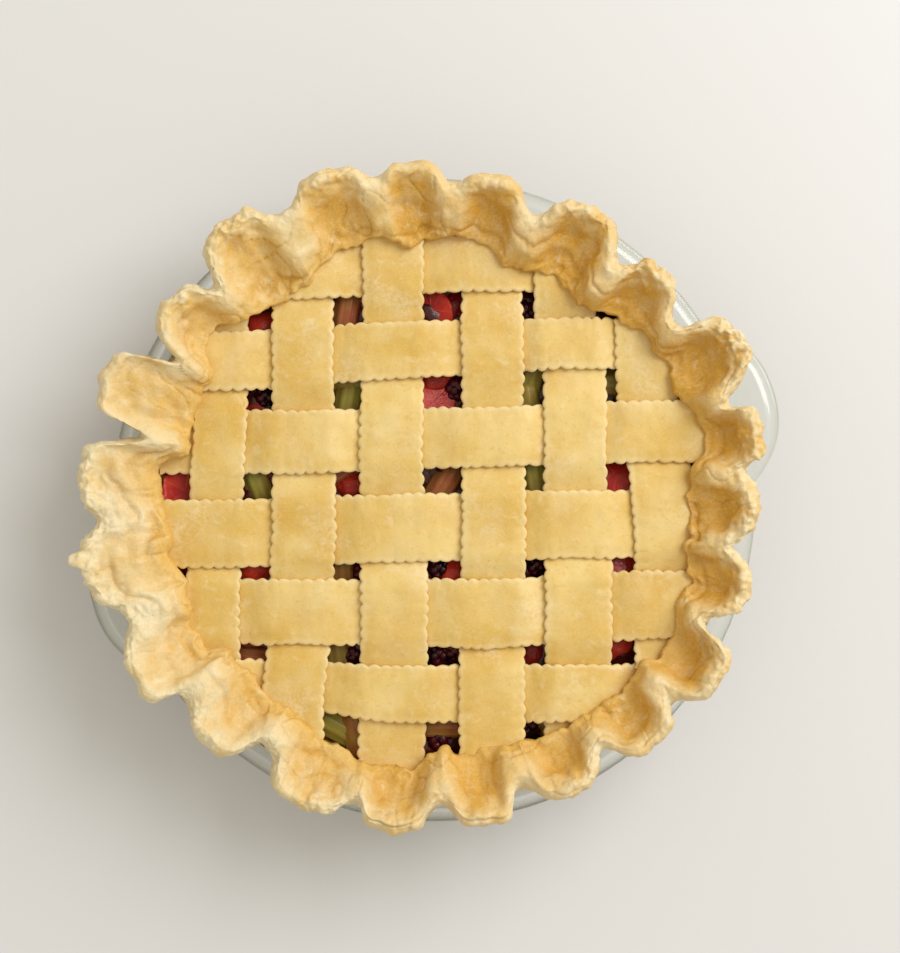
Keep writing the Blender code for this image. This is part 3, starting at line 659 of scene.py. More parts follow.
def wire_shader(tree, shader, colour, roughness, normal, specular=0.5):
    """Feeds a shader its colour, roughness and normal, and sets how strongly it reflects."""
    tree.links.new(colour, shader.inputs["Base Color"])
    tree.links.new(roughness, shader.inputs["Roughness"])
    tree.links.new(normal, shader.inputs["Normal"])
    shader.inputs["Specular IOR Level"].default_value = specular


def wire_wet(tree, shader, colour, relief, strength, distance, specular=0.5):
    """Wires a wet piece of fruit, whose own relief, if it has any, adds to that of the syrup."""
    wet = put(tree, "ShaderNodeGroup", node_tree=wet_group())
    height = wet.outputs["Height"]
    if relief is not None:
        height = sums(tree, "ADD", height, relief)
    normal = bump(tree, height, strength, distance)
    wire_shader(tree, shader, colour, wet.outputs["Roughness"], normal, specular)


def toned(tree, mottle_scale, detail, darker, brighter, dark, bright):
    """A skin between two colours: the piece's stored tone, mottled by noise."""
    mottle = spread(tree, noise(tree, mottle_scale, detail), 0.3, 0.7, darker, brighter)
    share = sums(tree, "ADD", stored(tree, "tone"), mottle)
    return blend_colours(tree, spread(tree, share, 0.0, 1.0), dark, bright)


def fill_dough(group, given):
    """Butter in blotches and flecks, darker freckles, fine grain and dry crumbs."""
    blotch = noise(group, given["Blotch Scale"], 3.0, Roughness=0.55)
    grain = noise(group, given["Grain Scale"], 4.0, Roughness=0.6)
    butter = noise(group, 210.0, 2.0, Distortion=0.6)
    broad = noise(group, 23.0, 1.0)
    freckle = noise(group, 520.0, 2.0, Roughness=0.6)
    buttery = sums(
        group, "ADD", spread(group, blotch, 0.30, 0.70, 0.0, 0.7),
        spread(group, broad, 0.36, 0.64, -0.30, 0.45))
    dryness_and_painted_light = sums(group, "ADD", given["Dryness And Painted Light"], spread(group, grain, 0.42, 0.70, 0.0, 0.25))
    colour = given["Dough"]
    # On the rim the pressing input lays the pressed colour as painted shade and the dryness input lays
    # the dry colour partly as painted light; on the strips they give rolled tone and drier edges.
    for share, over in (
        (spread(group, buttery, 0.0, 1.0), "Buttery"),
        (given["Pressing And Painted Shade"], "Pressed"),
        (spread(group, butter, 0.60, 0.74, 0.0, 0.45), "Dry"),
        (spread(group, freckle, 0.57, 0.72, 0.0, 0.55), "Pressed"),
        (spread(group, dryness_and_painted_light, 0.0, 1.0), "Dry"),
    ):
        colour = blend_colours(group, share, colour, given[over])
    height = sums(group, "ADD", sums(group, "MULTIPLY", grain, 0.7), butter)
    crumbly = sums(group, "MULTIPLY", given["Dryness And Painted Light"], freckle)
    height = sums(group, "ADD", height, sums(group, "MULTIPLY", crumbly, 2.2))
    rough = spread(group, butter, 0.35, 0.7, 0.56, 0.42)
    return {"Color": colour, "Roughness": rough, "Height": height}


def dough_group():
    """Raw dough, as a colour, a roughness and a height."""
    colours = [(label, "NodeSocketColor", (0.8, 0.5, 0.2, 1.0)) for label in DOUGH_TONES]
    values = [("Dryness And Painted Light", 0.0), ("Pressing And Painted Shade", 0.0), ("Blotch Scale", 60.0), ("Grain Scale", 900.0)]
    inputs = colours + [(label, "NodeSocketFloat", value) for label, value in values]
    outputs = (
        ("Color", "NodeSocketColor"), ("Roughness", "NodeSocketFloat"), ("Height", "NodeSocketFloat"))
    return group_once("Raw dough", inputs, outputs, fill_dough)


def fill_flour(group, given):
    """Drifts of fine specks on what faces up."""
    normal = put(group, "ShaderNodeNewGeometry").outputs["Normal"]
    facing = put(group, "ShaderNodeSeparateXYZ", {"Vector": normal})
    mask = sums(
        group, "MULTIPLY", spread(group, noise(group, 42.0, 2.0), 0.54, 0.72),
        spread(group, noise(group, 700.0, 3.0), 0.38, 0.62))
    mask = sums(group, "MULTIPLY", mask, spread(group, facing.outputs["Z"], 0.55, 0.95))
    return {"Mask": sums(group, "MULTIPLY", mask, given["Amount"])}


def flour_group():
    """Flour dusted on the dough, as a mask."""
    return group_once(
        "Flour dust", (("Amount", "NodeSocketFloat", 0.4),), (("Mask", "NodeSocketFloat"),), fill_flour)


def fill_wet(group, given):
    """Syrup that pools and breaks."""
    film = noise(group, given["Scale"], 3.0, Roughness=0.6)
    return {"Roughness": spread(group, film, 0.3, 0.7, 0.09, 0.26), "Height": film}


def wet_group():
    """Syrup on wet fruit, as a roughness and a height."""
    outputs = (("Roughness", "NodeSocketFloat"), ("Height", "NodeSocketFloat"))
    return group_once("Wet fruit", (("Scale", "NodeSocketFloat", 500.0),), outputs, fill_wet)


def dough_material(name, settings, flour, flour_amount, blotch_scale, grain_scale, relief):
    """Raw pastry dough with a little flour; stored values say where it has dried or was pressed, and on
    the rim where painted light and painted shade go.
    """
    material, tree, shader = new_material(name)
    dough = put(tree, "ShaderNodeGroup", node_tree=dough_group())
    for label in DOUGH_TONES:
        dough.inputs[label].default_value = (*getattr(settings, label.lower()), 1.0)
    dough.inputs["Blotch Scale"].default_value = blotch_scale
    dough.inputs["Grain Scale"].default_value = grain_scale
    tree.links.new(stored(tree, "dryness_and_painted_light"), dough.inputs["Dryness And Painted Light"])
    tree.links.new(stored(tree, "painted_shade_and_rolled_tone"), dough.inputs["Pressing And Painted Shade"])
    dust = put(tree, "ShaderNodeGroup", node_tree=flour_group())
    dust.inputs["Amount"].default_value = flour_amount
    colour = blend_colours(tree, dust.outputs["Mask"], dough.outputs["Color"], flour)
    normal = bump(tree, dough.outputs["Height"], relief, 0.0004)
    wire_shader(tree, shader, colour, dough.outputs["Roughness"], normal, DOUGH_SPECULAR)
    return material


def tab_swell(angles, reach):
    """How far the flange's edge is drawn out into a tab at angles in degrees."""
    nearest = np.full(len(angles), 180.0)
    for tab in TAB_ANGLES:
        nearest = np.minimum(nearest, np.abs((angles - tab + 180.0) % 360.0 - 180.0))
    across = np.clip(nearest / TAB_HALF_ANGLE, 0.0, 1.0)
    return reach * (1.0 - across ** 2.4) ** 1.1


def dish_section(rim_radius):
    """The dish from the middle of its floor, up the well, over the flange and down to the base."""
    inside = (
        (0.0, DISH_FLOOR),
        (BASE_RADIUS - 0.0040, DISH_FLOOR),
        (BASE_RADIUS + 0.0032, DISH_FLOOR + 0.0031),
        (WELL_RADIUS, DISH_HIGH - 0.0045),
        (WELL_RADIUS + 0.0031, DISH_HIGH - 0.0008),
        (FLANGE_START, DISH_HIGH),
        (rim_radius - BEAD_WIDTH, DISH_HIGH),
        (rim_radius - 0.0030, DISH_HIGH),
        (rim_radius - 0.0012, DISH_HIGH),
        (rim_radius, DISH_HIGH - 0.0012),
        (rim_radius, DISH_HIGH - FLANGE_THICKNESS),
        (rim_radius - 0.0014, DISH_HIGH - FLANGE_THICKNESS - 0.0012),
        (rim_radius - 0.0034, DISH_HIGH - FLANGE_THICKNESS - 0.0009),
        (rim_radius - 0.0048, DISH_HIGH - FLANGE_THICKNESS),
        (rim_radius - BEAD_WIDTH, DISH_HIGH - FLANGE_THICKNESS),
        (WELL_RADIUS + DISH_WALL, DISH_HIGH - FLANGE_THICKNESS - 0.0004),
        (BASE_RADIUS + 0.0032 + DISH_WALL, 0.0046),
        (BASE_RADIUS + 0.0030, 0.0010),
        (BASE_RADIUS, 0.0),
        (BASE_RADIUS - 0.0030, 0.0008),
        (0.0, 0.0010),
    )
    return round_corners(inside, 2)


def glass_material(settings):
    """Clear glass with a faint tint, which lets light through to the dough it holds."""
    material, tree, shader = new_material("Clear glass")
    colour = blend_colours(tree, stored(tree, "edge"), settings.tint, settings.edge_tint)
    smear = noise(tree, 40.0, 4.0)
    roughness = spread(tree, smear, 0.45, 0.75, 0.01, 0.07)
    wire_shader(tree, shader, colour, roughness, bump(tree, smear, 0.06, 0.001))
    shader.inputs["Transmission Weight"].default_value = 1.0
    shader.inputs["IOR"].default_value = GLASS_IOR
    clear = put(tree, "ShaderNodeBsdfTransparent", {"Color": (*settings.shadow_tint, 1.0)})
    path = put(tree, "ShaderNodeLightPath")
    mixed = put(tree, "ShaderNodeMixShader", {0: path.outputs["Is Shadow Ray"]})
    tree.links.new(shader.outputs[0], mixed.inputs[1])
    tree.links.new(clear.outputs[0], mixed.inputs[2])
    tree.links.new(mixed.outputs[0], tree.nodes["Material Output"].inputs["Surface"])
    return material


def make_dish(settings):
    """Turns the dish and draws its flange out into two tabs."""
    piece = turned_piece("clear_dish", dish_section(settings.rim_radius), DISH_STEPS)
    points = read_points(piece.data)
    radius, angles = polar(points)
    flange_width = settings.rim_radius - BEAD_WIDTH - FLANGE_START
    flange = points[:, 2] > DISH_HIGH - FLANGE_THICKNESS - BEAD_DEPTH
    share = np.clip((radius - FLANGE_START) / flange_width, 0.0, 1.0) * flange
    rim_edge = ease(radius, settings.rim_radius - 0.0016, settings.rim_radius - 0.0004) * flange
    write_values(piece.data, "edge", rim_edge)
    grown = radius + share * tab_swell(angles, settings.tab_reach)
    scale_out(points, grown / np.maximum(radius, TINY))
    write_points(piece.data, points)
    finish_piece(piece, glass_material(settings), "clear_glass", "glass_dish")


def flute_table():
    """Lobes and ridges in order round the rim: angle, outer radius, foot, lobe share, rise, hollow."""
    draw = random.Random(SEED)
    rises = [draw.uniform(-CREST_SPREAD, CREST_SPREAD) for _ in FLUTES]
    rows = []
    for index, (flute, rise) in enumerate(zip(FLUTES, rises)):
        after = rises[(index + 1) % len(rises)]
        rows.append((*flute[:3], 1.0, rise, *flute[6:]))
        rows.append((*flute[3:6], 0.0, (rise + after) / 2.0, 0.0, 0.0))
    rows.append((rows[0][0] + 360.0, *rows[0][1:]))
    return np.array(rows)


def lobe_share(from_lobe, breadth, square):
    """1 on a lobe and 0 on a ridge, with a squarer or rounder wave between them."""
    share = np.tanh(square * (np.cos(np.pi * from_lobe) + breadth))
    most = np.tanh(square * (1.0 + breadth))
    least = np.tanh(square * (breadth - 1.0))
    return (share - least) / (most - least)


def flutes_at(angles):
    """Outer radius, foot, outer and inner lobe share, rise and hollow of the rim at angles."""
    table = flute_table()
    turned = (angles - table[0, 0]) % 360.0 + table[0, 0]
    after = np.clip(np.searchsorted(table[:, 0], turned, side="right"), 1, len(table) - 1)
    low, high = table[after - 1], table[after]
    along = (turned - low[:, 0]) / (high[:, 0] - low[:, 0])
    starts_on_lobe = low[:, 3] > 0.5
    from_lobe = np.where(starts_on_lobe, along, 1.0 - along)
    lobe = np.where(starts_on_lobe[:, None], low, high)
    ridge = np.where(starts_on_lobe[:, None], high, low)
    outside = lobe_share(from_lobe, OUTER_BREADTH, lobe[:, 6])
    inside = lobe_share(from_lobe, INNER_BREADTH, lobe[:, 6])
    outer = ridge[:, 1] + (lobe[:, 1] - ridge[:, 1]) * outside
    foot = ridge[:, 2] + (lobe[:, 2] - ridge[:, 2]) * inside
    rise = ridge[:, 4] + (lobe[:, 4] - ridge[:, 4]) * outside
    return outer, foot, outside, inside, rise, lobe[:, 5] * inside ** 1.5


def foot_at(angles):
    """Radius of the rim's inner foot at angles in degrees."""
    return flutes_at(np.atleast_1d(np.asarray(angles, dtype=np.float64)))[1]


def rim_sections(settings, angles):
    """The rim's section at each angle, from its low inner foot over the crest to its underside."""
    outer, foot, outside, inside, rise, hollow = flutes_at(angles)
    crest_ring, foot_ring = on_ring(angles, CREST_RING), on_ring(angles, FOOT_RING)
    outer = outer + 0.0010 * soft_noise(crest_ring, 0.006, 21)
    foot = foot + 0.0018 * soft_noise(foot_ring, 0.008, 22) + 0.0010 * soft_noise(foot_ring, 0.0030, 26)
    lip = FOOT_TOP + 0.0010 * soft_noise(foot_ring, 0.009, 23)
    for angle, half_width, reach, lift in FLAPS:
        pull = near_angle(angles, angle, half_width)
        foot = foot - reach * pull
        lip = lip + lift * pull
    top = settings.lobe_crest + rise + 0.0010 * soft_noise(crest_ring, 0.009, 24)
    low = settings.ridge_crest + 0.4 * rise + 0.0008 * soft_noise(crest_ring, 0.009, 25)
    width = outer - foot
    flat = np.clip(-hollow / 0.0010, 0.0, 1.0)
    low_foot = ((foot + 0.0010, FOOT_BOTTOM), (foot - 0.0004, lip - 0.0006))
    lobe = (
        *low_foot,
        (foot + (0.15 - 0.06 * flat) * width, lip + 0.0013 - 0.6 * hollow + 0.0034 * flat),
        (foot + (0.50 - 0.08 * flat) * width, FOOT_TOP + 0.0061 - hollow + 0.0030 * flat),
        (outer - 0.0083, top - 0.0032 - 0.4 * hollow),
        (outer - 0.0042, top),
        (outer - 0.0007, top - 0.0028),
        (outer, 0.0565),
        (outer - 0.0025, 0.0466),
        (outer - 0.0050, RIM_UNDERSIDE),
    )
    ridge = (
        *low_foot,
        (foot + 0.0012, 0.0552),
        (foot + 0.27 * width, low - 0.0024),
        (foot + 0.58 * width, low),
        (outer - 0.0038, low - 0.0002),
        (outer - 0.0011, low - 0.0032),
        (outer, 0.0535),
        (outer - 0.0004, 0.0460),
        (outer - 0.0022, RIM_UNDERSIDE),
    )
    shapes = []
    for rows in (lobe, ridge):
        columns = [np.stack(np.broadcast_arrays(radius, height), axis=-1) for radius, height in rows]
        shapes.append(smooth_through(np.stack(columns, axis=1), RIM_PARTS))
    outward = ease(CONTROL_AT, 2.5, 5.5)
    share = inside[:, None] + (outside - inside)[:, None] * outward[None, :]
    return shapes[1] + (shapes[0] - shapes[1]) * share[:, :, None]


def lining_sections():
    """The case's section before and after the rim: up the lining's inside and back down its outside."""
    inner = DISH_FLOOR + GAP + LINING_THICKNESS
    inside = (
        (0.0, inner),
        (BASE_RADIUS - 0.0070, inner),
        (BASE_RADIUS + 0.0010, inner + 0.0042),
        (WELL_RADIUS - 0.0049, 0.0390),
    )
    outside = (
        (WELL_RADIUS + 0.0058, RIM_UNDERSIDE),
        (WELL_RADIUS + 0.0027, DISH_HIGH - 0.0005),
        (WELL_RADIUS - 0.0005, DISH_HIGH - 0.0042),
        (BASE_RADIUS + 0.0028, DISH_FLOOR + 0.0035),
        (BASE_RADIUS - 0.0041, DISH_FLOOR + 0.0004),
        (0.0, DISH_FLOOR + 0.0004),
    )
    return round_corners(inside, 1), round_corners(outside, 1)


def make_crust(settings, flour):
    """Turns the pastry case, presses its rim into flutes and works the dough over by hand."""
    inside, outside = lining_sections()
    plain_rim = rim_sections(settings, np.array([DRAWN_AT]))[0]
    piece = turned_piece("pastry_case", np.concatenate([inside, plain_rim, outside]), CRUST_STEPS)
    mesh = piece.data
    points = read_points(mesh)
    station = np.round(read_values(mesh, "station")).astype(int) - len(inside)
    place = CONTROL_AT[np.clip(station, 0, len(plain_rim) - 1)]
    step = np.round(polar(points)[1] / 360.0 * CRUST_STEPS).astype(int) % CRUST_STEPS
    angles = np.arange(CRUST_STEPS) * 360.0 / CRUST_STEPS
    rim = (station >= 0) & (station < len(plain_rim))
    radius, height = rim_sections(settings, angles)[step[rim], station[rim]].T
    ring = on_ring(angles[step[rim]], 0.12)
    lean = 0.019 * soft_noise(ring, 0.012, 31) * ease(height, 0.050, 0.066)
    bulge = 0.012 * soft_noise(ring, 0.016, 33) * (1.0 - ease(np.abs(height - 0.057), 0.0, 0.007))
    turn = np.radians(angles[step[rim]]) + lean + bulge
    points[rim] = np.stack([radius * np.cos(turn), radius * np.sin(turn), height], axis=1)
    crest = hump(place, 5.4, 1.15) * rim
    around = polar(points)[1] % 360.0
    for angle, half_width, out, down in RAGS:
        pull = near_angle(around, angle, half_width) * crest ** 2
        scale_out(points, 1.0 + pull * out / 0.13)
        points[:, 2] -= pull * down
    write_points(mesh, points)
    work_dough(mesh, settings, rim, place, crest)
    bpy.ops.object.modifier_add(type="DECIMATE")
    piece.modifiers[0].ratio = CRUST_KEPT
    bpy.ops.object.modifier_apply(modifier=piece.modifiers[0].name)
    bpy.ops.object.shade_smooth()
    material = dough_material("Rim dough", settings, flour, 0.20, 62.0, 1100.0, 0.70)
    finish_piece(piece, material, "rim_dough", "crust")


def stretches(table, around):
    """How strongly a table of stretches of the rim acts at angles."""
    return sum(strength * near_angle(around, angle, half) for angle, half, strength in table)


def lumps(points, lump, crest):
    """Soft lumps and dents, with a finer grain that is rougher in places along the crest."""
    rough = ease(soft_noise(points, 0.030, 44), -0.25, 0.35)
    raised = 1.5 * soft_noise(points, 0.0105, 41) + 0.80 * soft_noise(points, 0.0048, 42)
    raised += 0.45 * soft_noise(points, 0.0023, 43) * (0.45 + crest * (0.5 + rough))
    return lump * raised + 0.00024 * soft_noise(points, 0.0013, 45) * (0.3 + crest * (0.4 + rough))


def creases(points, place, around):
    """Depth of the creases where the crest was folded over, and how deeply folded each point is."""
    depths, folded = np.zeros(len(points)), np.zeros(len(points))
    wander = 0.5 * soft_noise(points, 0.012, 51)
    for angle, half_width, across, depth in CREASES:
        past = place - across - wander
        groove = hump(past, 0.0, 0.13) - 0.5 * hump(past, -0.36, 0.24)
        crease = depth * groove * near_angle(around, angle, half_width)
        depths += crease
        folded += np.clip(crease / 0.0010, 0.0, 1.0)
    return depths, folded


def cracks(points, strength):
    """Cracks that run out across the stretched crest, as a share from 0 to 1."""
    radius = polar(points)[0]
    squeezed = points * (1.0, 1.0, 0.25)
    scale_out(squeezed, (0.125 + (radius - 0.125) * 0.22) / np.maximum(radius, TINY))
    line = np.clip(1.0 - np.abs(soft_noise(squeezed, 0.0062, 46)) / 0.20, 0.0, 1.0) ** 1.5
    return line * ease(soft_noise(points, 0.016, 47), 0.05, 0.35) * np.clip(strength, 0.0, 1.0)


def work_dough(mesh, settings, rim, place, crest):
    """Works the rim over along its normals, and stores where it has dried, where painted light goes and
    where painted shade goes.
    """
    points, normals = read_points(mesh), read_normals(mesh)
    around = polar(points)[1] % 360.0
    wall = ease(place, 0.9, 1.8) * (1.0 - ease(place, 4.2, 5.2)) * rim
    torn = stretches(RAGGED, around) * np.clip(crest * 1.6, 0.0, 1.0)
    knobs = 0.45 - np.abs(soft_noise(points, 0.0042, 50)) * 1.6
    crumbs = ease(soft_noise(points, 0.0027, 52), -0.10, 0.40)
    at_foot = hump(place, 1.7, 0.9) * rim * stretches(FOOT_TORN, around)
    gathered = 0.40 - np.abs(soft_noise(points, 0.0056, 54)) * 2.0
    crease, folded = creases(points, place, around)
    crack = cracks(points, crest * 1.3 + 0.5 * wall)
    pinch = np.clip(1.0 - np.abs(soft_noise(points, 0.0115, 55)) / 0.06, 0.0, 1.0)
    pinch *= ease(soft_noise(points, 0.024, 56), 0.0, 0.3) * wall
    worked = lumps(points, settings.lump, crest) + (0.0012 * knobs + 0.00045 * (crumbs - 0.5)) * torn
    worked += 0.0010 * gathered * at_foot - crease - settings.crack * (crack + 0.7 * pinch)
    free = ease(place, 0.1, 0.8) * (1.0 - ease(place, 7.4, 8.8)) * rim
    points += normals * (worked * free)[:, None]
    write_points(mesh, points)

    lobes = flutes_at(polar(points)[1])[3]
    upper = ease(place, 1.8, 3.2) * (1.0 - ease(place, 6.2, 7.4)) * rim
    # Painted shade: near 40 degrees, where the rim's inner walls face away from the light, and more
    # weakly near 302 degrees, the dough takes the pressed colour all over and less of the dry colour.
    shaded_side = 0.04 + stretches(SHADED_SIDE, around)
    # Painted light: the ridges, and the left side near 200 degrees whose inner walls face the light,
    # are painted paler with the dry colour on the upper wall; the crest, cracks and crumbs are paler
    # because they are drier.
    pale = 0.35 * (1.0 - lobes) + 0.35 * near_angle(around, 200.0, 52.0)
    dry = 0.70 * crest * (0.6 + 0.5 * soft_noise(points, 0.010, 48)) + 0.3 * crack
    dry += 0.45 * torn * crumbs + upper * (pale + 0.30 * soft_noise(points, 0.0060, 53))
    write_values(mesh, "dryness_and_painted_light", np.clip(dry * (1.0 - 0.45 * shaded_side), 0.0, 1.0))
    # Painted shade: the pressed colour darkens the lobes' pockets, most of all near 40 degrees, and the
    # folded creases, cracks and pinches.
    painted_shade_and_rolled_tone = hump(place, 3.2, 1.35) * lobes * rim * (0.30 + stretches(SHADED_POCKETS, around))
    deep = painted_shade_and_rolled_tone * (1.10 + 0.25 * soft_noise(points, 0.008, 49))
    deep += 0.7 * folded + 0.5 * crack + 0.6 * pinch + shaded_side * rim * (1.0 - 0.4 * crest)
    # Painted shade: the pressed colour also darkens the low foot where it meets the strips and the
    # hollows of its gathered folds, less on the left side that faces the light.
    foot_shade = 0.45 * hump(place, 0.7, 0.5) * rim + 0.5 * at_foot * (gathered < 0.1)
    deep += foot_shade * (1.0 - 0.8 * near_angle(around, 195.0, 45.0))
    write_values(mesh, "painted_shade_and_rolled_tone", np.clip(deep, 0.0, 1.0))


def weave_height(strips, x, y):
    """Middle level of the weave: highest over the middle of the pie."""
    fall = (x * x + y * y) / (WEAVE_RADIUS * WEAVE_RADIUS)
    return strips.centre_height + (strips.edge_height - strips.centre_height) * fall


def along_table(rows, places):
    """Centre and width of a strip at places along it, straight between its measured points."""
    ordered = np.array(sorted(rows))
    return (
        np.interp(places, ordered[:, 0], ordered[:, 1]),
        np.interp(places, ordered[:, 0], ordered[:, 2]))


def crossing(rows, other_rows, pinking):
    """Where two strips cross, as the place along the first and half the length they share there."""
    place, other_place = 0.0, 0.0
    for _ in range(12):
        other_place = along_table(rows, place)[0]
        place = along_table(other_rows, other_place)[0]
    own_half = along_table(rows, place)[1] / 2.0
    other_centre, other_width = along_table(other_rows, other_place)
    lean = max(
        abs(along_table(other_rows, other_place + side * own_half)[0] - other_centre)
        for side in (-1.0, 1.0))
    return place, other_width / 2.0 + lean + pinking + CROSSING_MARGIN


def strip_knots(rows, others, index, along_y, pinking):
    """Places along a strip where it starts or stops lying over or under another, with its level."""
    knots = []
    for other_index, other in enumerate(others):
        place, half = crossing(rows, other, pinking)
        over = (index + other_index) % 2 == (0 if along_y else 1)
        level = 1.0 if over else -1.0
        knots += [(place - half + SLOPE_TUCK, level), (place + half - SLOPE_TUCK, level)]
    return np.array(sorted(knots))


def level_along(knots, places):
    """Level of a strip at places along it: 1 over, -1 under, eased from one to the other."""
    after = np.clip(np.searchsorted(knots[:, 0], places), 1, len(knots) - 1)
    low, high = knots[after - 1], knots[after]
    share = ease(places, low[:, 0], high[:, 0])
    return low[:, 1] + (high[:, 1] - low[:, 1]) * share


def strip_reach(rows, along_y):
    """Places along a strip that lie inside the rim, with the edges of the strip at each."""
    places = np.arange(-0.118, 0.118, STRIP_STEP)
    centre, width = along_table(rows, places)
    across = centre[:, None] + width[:, None] * np.linspace(-0.5, 0.5, 161)[None, :]
    along = np.broadcast_to(places[:, None], across.shape)
    x, y = (across, along) if along_y else (along, across)
    limit = foot_at(np.degrees(np.arctan2(y, x)).ravel()).reshape(x.shape) + STRIP_TUCK
    inside = np.hypot(x, y) <= limit
    low = np.where(inside, across, np.inf).min(axis=1)
    high = np.where(inside, across, -np.inf).max(axis=1)
    kept = high - low >= STRIP_END_WIDTH
    start, stop = np.argmax(kept), len(kept) - np.argmax(kept[::-1])
    cut_low, cut_high = ~inside[:, 0], ~inside[:, -1]
    return tuple(column[start:stop] for column in (places, low, high, cut_low, cut_high))


def scallops(places, pitch, phase):
    """The wave of a wheel-cut edge: round scallops outward and narrow nicks inward."""
    return 2.0 * np.abs(np.sin(np.pi * places / pitch + phase)) ** 0.8 - 1.2


def pinked_edge(places, cut, side, pitch, depth, seed, first_phase):
    """How far a wheel-cut edge stands out along a strip; where the rim cuts it off it is plain."""
    beside = np.column_stack(np.broadcast_arrays(places, 0.3 * side, 0.1 * seed))
    phase = first_phase + 1.1 * soft_noise(beside, 0.013, 97)
    deep = depth * (1.0 + 0.7 * soft_noise(beside, 0.009, 98))
    wave = deep * scallops(places, pitch, phase) + 0.0005 * soft_noise(beside, 0.015, 99)
    return side * np.where(cut, 0.0, wave)


def make_strip(name, rows, others, index, along_y, strips, material):
    """Cuts one strip flat and bends it over and under the strips that cross it."""
    places, low, high, cut_low, cut_high = strip_reach(rows, along_y)
    steps = len(places) - 1
    bpy.ops.object.select_all(action="DESELECT")
    bpy.ops.mesh.primitive_grid_add(x_subdivisions=steps, y_subdivisions=STRIP_ROWS, size=2.0)
    piece = bpy.context.object
    piece.name = piece.data.name = f"woven_{name}"
    bpy.ops.object.mode_set(mode="EDIT")
    bpy.ops.mesh.select_all(action="SELECT")
    bpy.ops.mesh.extrude_region_move(TRANSFORM_OT_translate={"value": (0.0, 0.0, -1.0)})
    point_outward()
    flat = read_points(piece.data)
    column = np.clip(np.round((flat[:, 0] + 1.0) / 2.0 * steps).astype(int), 0, steps)
    row = np.round((flat[:, 1] + 1.0) / 2.0 * STRIP_ROWS)
    under = flat[:, 2] < -0.5
    seed = 60 + index + (0 if along_y else 6)
    draw = np.random.default_rng(seed)
    pitch = strips.pinking_pitch * draw.uniform(0.96, 1.05)
    near, far = (
        edge + pinked_edge(places, cut, side, pitch, strips.pinking_depth, seed, draw.uniform(0.0, 3.0))
        for edge, cut, side in ((low, cut_low, -1.0), (high, cut_high, 1.0)))
    share = 0.5 - 0.5 * np.cos(np.pi * row / STRIP_ROWS)
    across = near[column] + (far - near)[column] * share
    along = places[column]
    x, y = (across, along) if along_y else (along, across)
    level = level_along(strip_knots(rows, others, index, along_y, strips.pinking_depth), along)
    swing = (strips.thickness + WEAVE_GAP) / 2.0
    edge = np.minimum(across - near[column], far[column] - across)
    rounding = np.where(under, 0.0007, 0.0012)
    curve = np.clip(1.0 - edge / rounding, 0.0, 1.0)
    drop = rounding * 0.75 * (1.0 - np.sqrt(np.maximum(1.0 - curve ** 2, 0.0)))
    press = 0.00050 * (1.0 - ease(edge, 0.0, 0.0062))
    half = strips.thickness / 2.0
    height = np.where(under, drop - half + 0.4 * press, half - drop - press)
    middle = np.stack([x, y, np.full(len(x), 0.05 + 0.01 * seed)], axis=1)
    waves = 0.00050 * soft_noise(middle, 0.017, seed) + 0.00026 * soft_noise(middle, 0.0065, seed + 20)
    waves *= ease(level, -1.0, -0.5) * np.where(under, 1.0 - ease(level, 0.5, 1.0), 1.0)
    z = weave_height(strips, x, y) + level * swing + height + waves
    bent = np.stack([x, y, z], axis=1)
    write_points(piece.data, bent)
    dents = 0.00009 * soft_noise(bent, 0.0026, seed + 40)
    write_points(piece.data, read_points(piece.data) + read_normals(piece.data) * dents[:, None])
    dry = 0.50 * (1.0 - ease(edge, 0.0, 0.0030)) + 0.30 * soft_noise(middle, 0.011, seed + 60)
    write_values(piece.data, "dryness_and_painted_light", np.clip(dry, 0.0, 1.0))
    write_values(piece.data, "painted_shade_and_rolled_tone", np.clip(0.6 * soft_noise(middle, 0.021, seed + 80), 0.0, 1.0))
    point_outward()
    bpy.ops.object.shade_smooth_by_angle(angle=SHARP_EDGE)
    finish_piece(piece, material, "strip_dough", name)


def make_lattice(strips):
    """Weaves the twelve strips, six each way."""
    material = dough_material("Strip dough", strips, strips.flour, 0.30, 75.0, 1300.0, 0.35)
    for index, rows in enumerate(STRIPS_ALONG_Y):
        make_strip(f"strip_v{index}", rows, STRIPS_ALONG_X, index, True, strips, material)
    for index, rows in enumerate(STRIPS_ALONG_X):
        make_strip(f"strip_h{index}", rows, STRIPS_ALONG_Y, index, False, strips, material)


def make_bed(settings):
    """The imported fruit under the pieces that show, glazed with juice."""
    inner = DISH_FLOOR + GAP + LINING_THICKNESS
    section = round_corners((
        (0.0, 0.0432),
        (0.0500, 0.0420),
        (0.0950, 0.0402),
        (0.1052, 0.0382),
        (BASE_RADIUS + 0.0002, inner + 0.0048),
        (BASE_RADIUS - 0.0077, inner + GAP),
        (0.0, inner + GAP),
    ), 2)
    filled = []
    for here, there in zip(section, section[1:]):
        parts = max(1, round(math.dist(here, there) / 0.0022))
        filled += [here + (there - here) * part / parts for part in range(parts)]
    filled.append(section[-1])
    piece = turned_piece("fruit_bed", filled, 264)
    points, normals = read_points(piece.data), read_normals(piece.data)
    top = ease(points[:, 2], 0.030, 0.038) * ease(normals[:, 2], 0.2, 0.7)
    lumps = 0.0016 * soft_noise(points, 0.0085, 81) + 0.0008 * soft_noise(points, 0.0035, 82)
    points[:, 2] += lumps * top
    write_points(piece.data, points)
    material, tree, shader = new_material("Juice")
    dark = tuple(0.35 * part for part in settings.juice)
    pooled = spread(tree, noise(tree, 130.0, 3.0), 0.35, 0.65)
    colour = blend_colours(tree, pooled, dark, settings.juice)
    wire_wet(tree, shader, colour, None, 0.4, 0.0006)
    finish_piece(piece, material, "fruit", "filling")


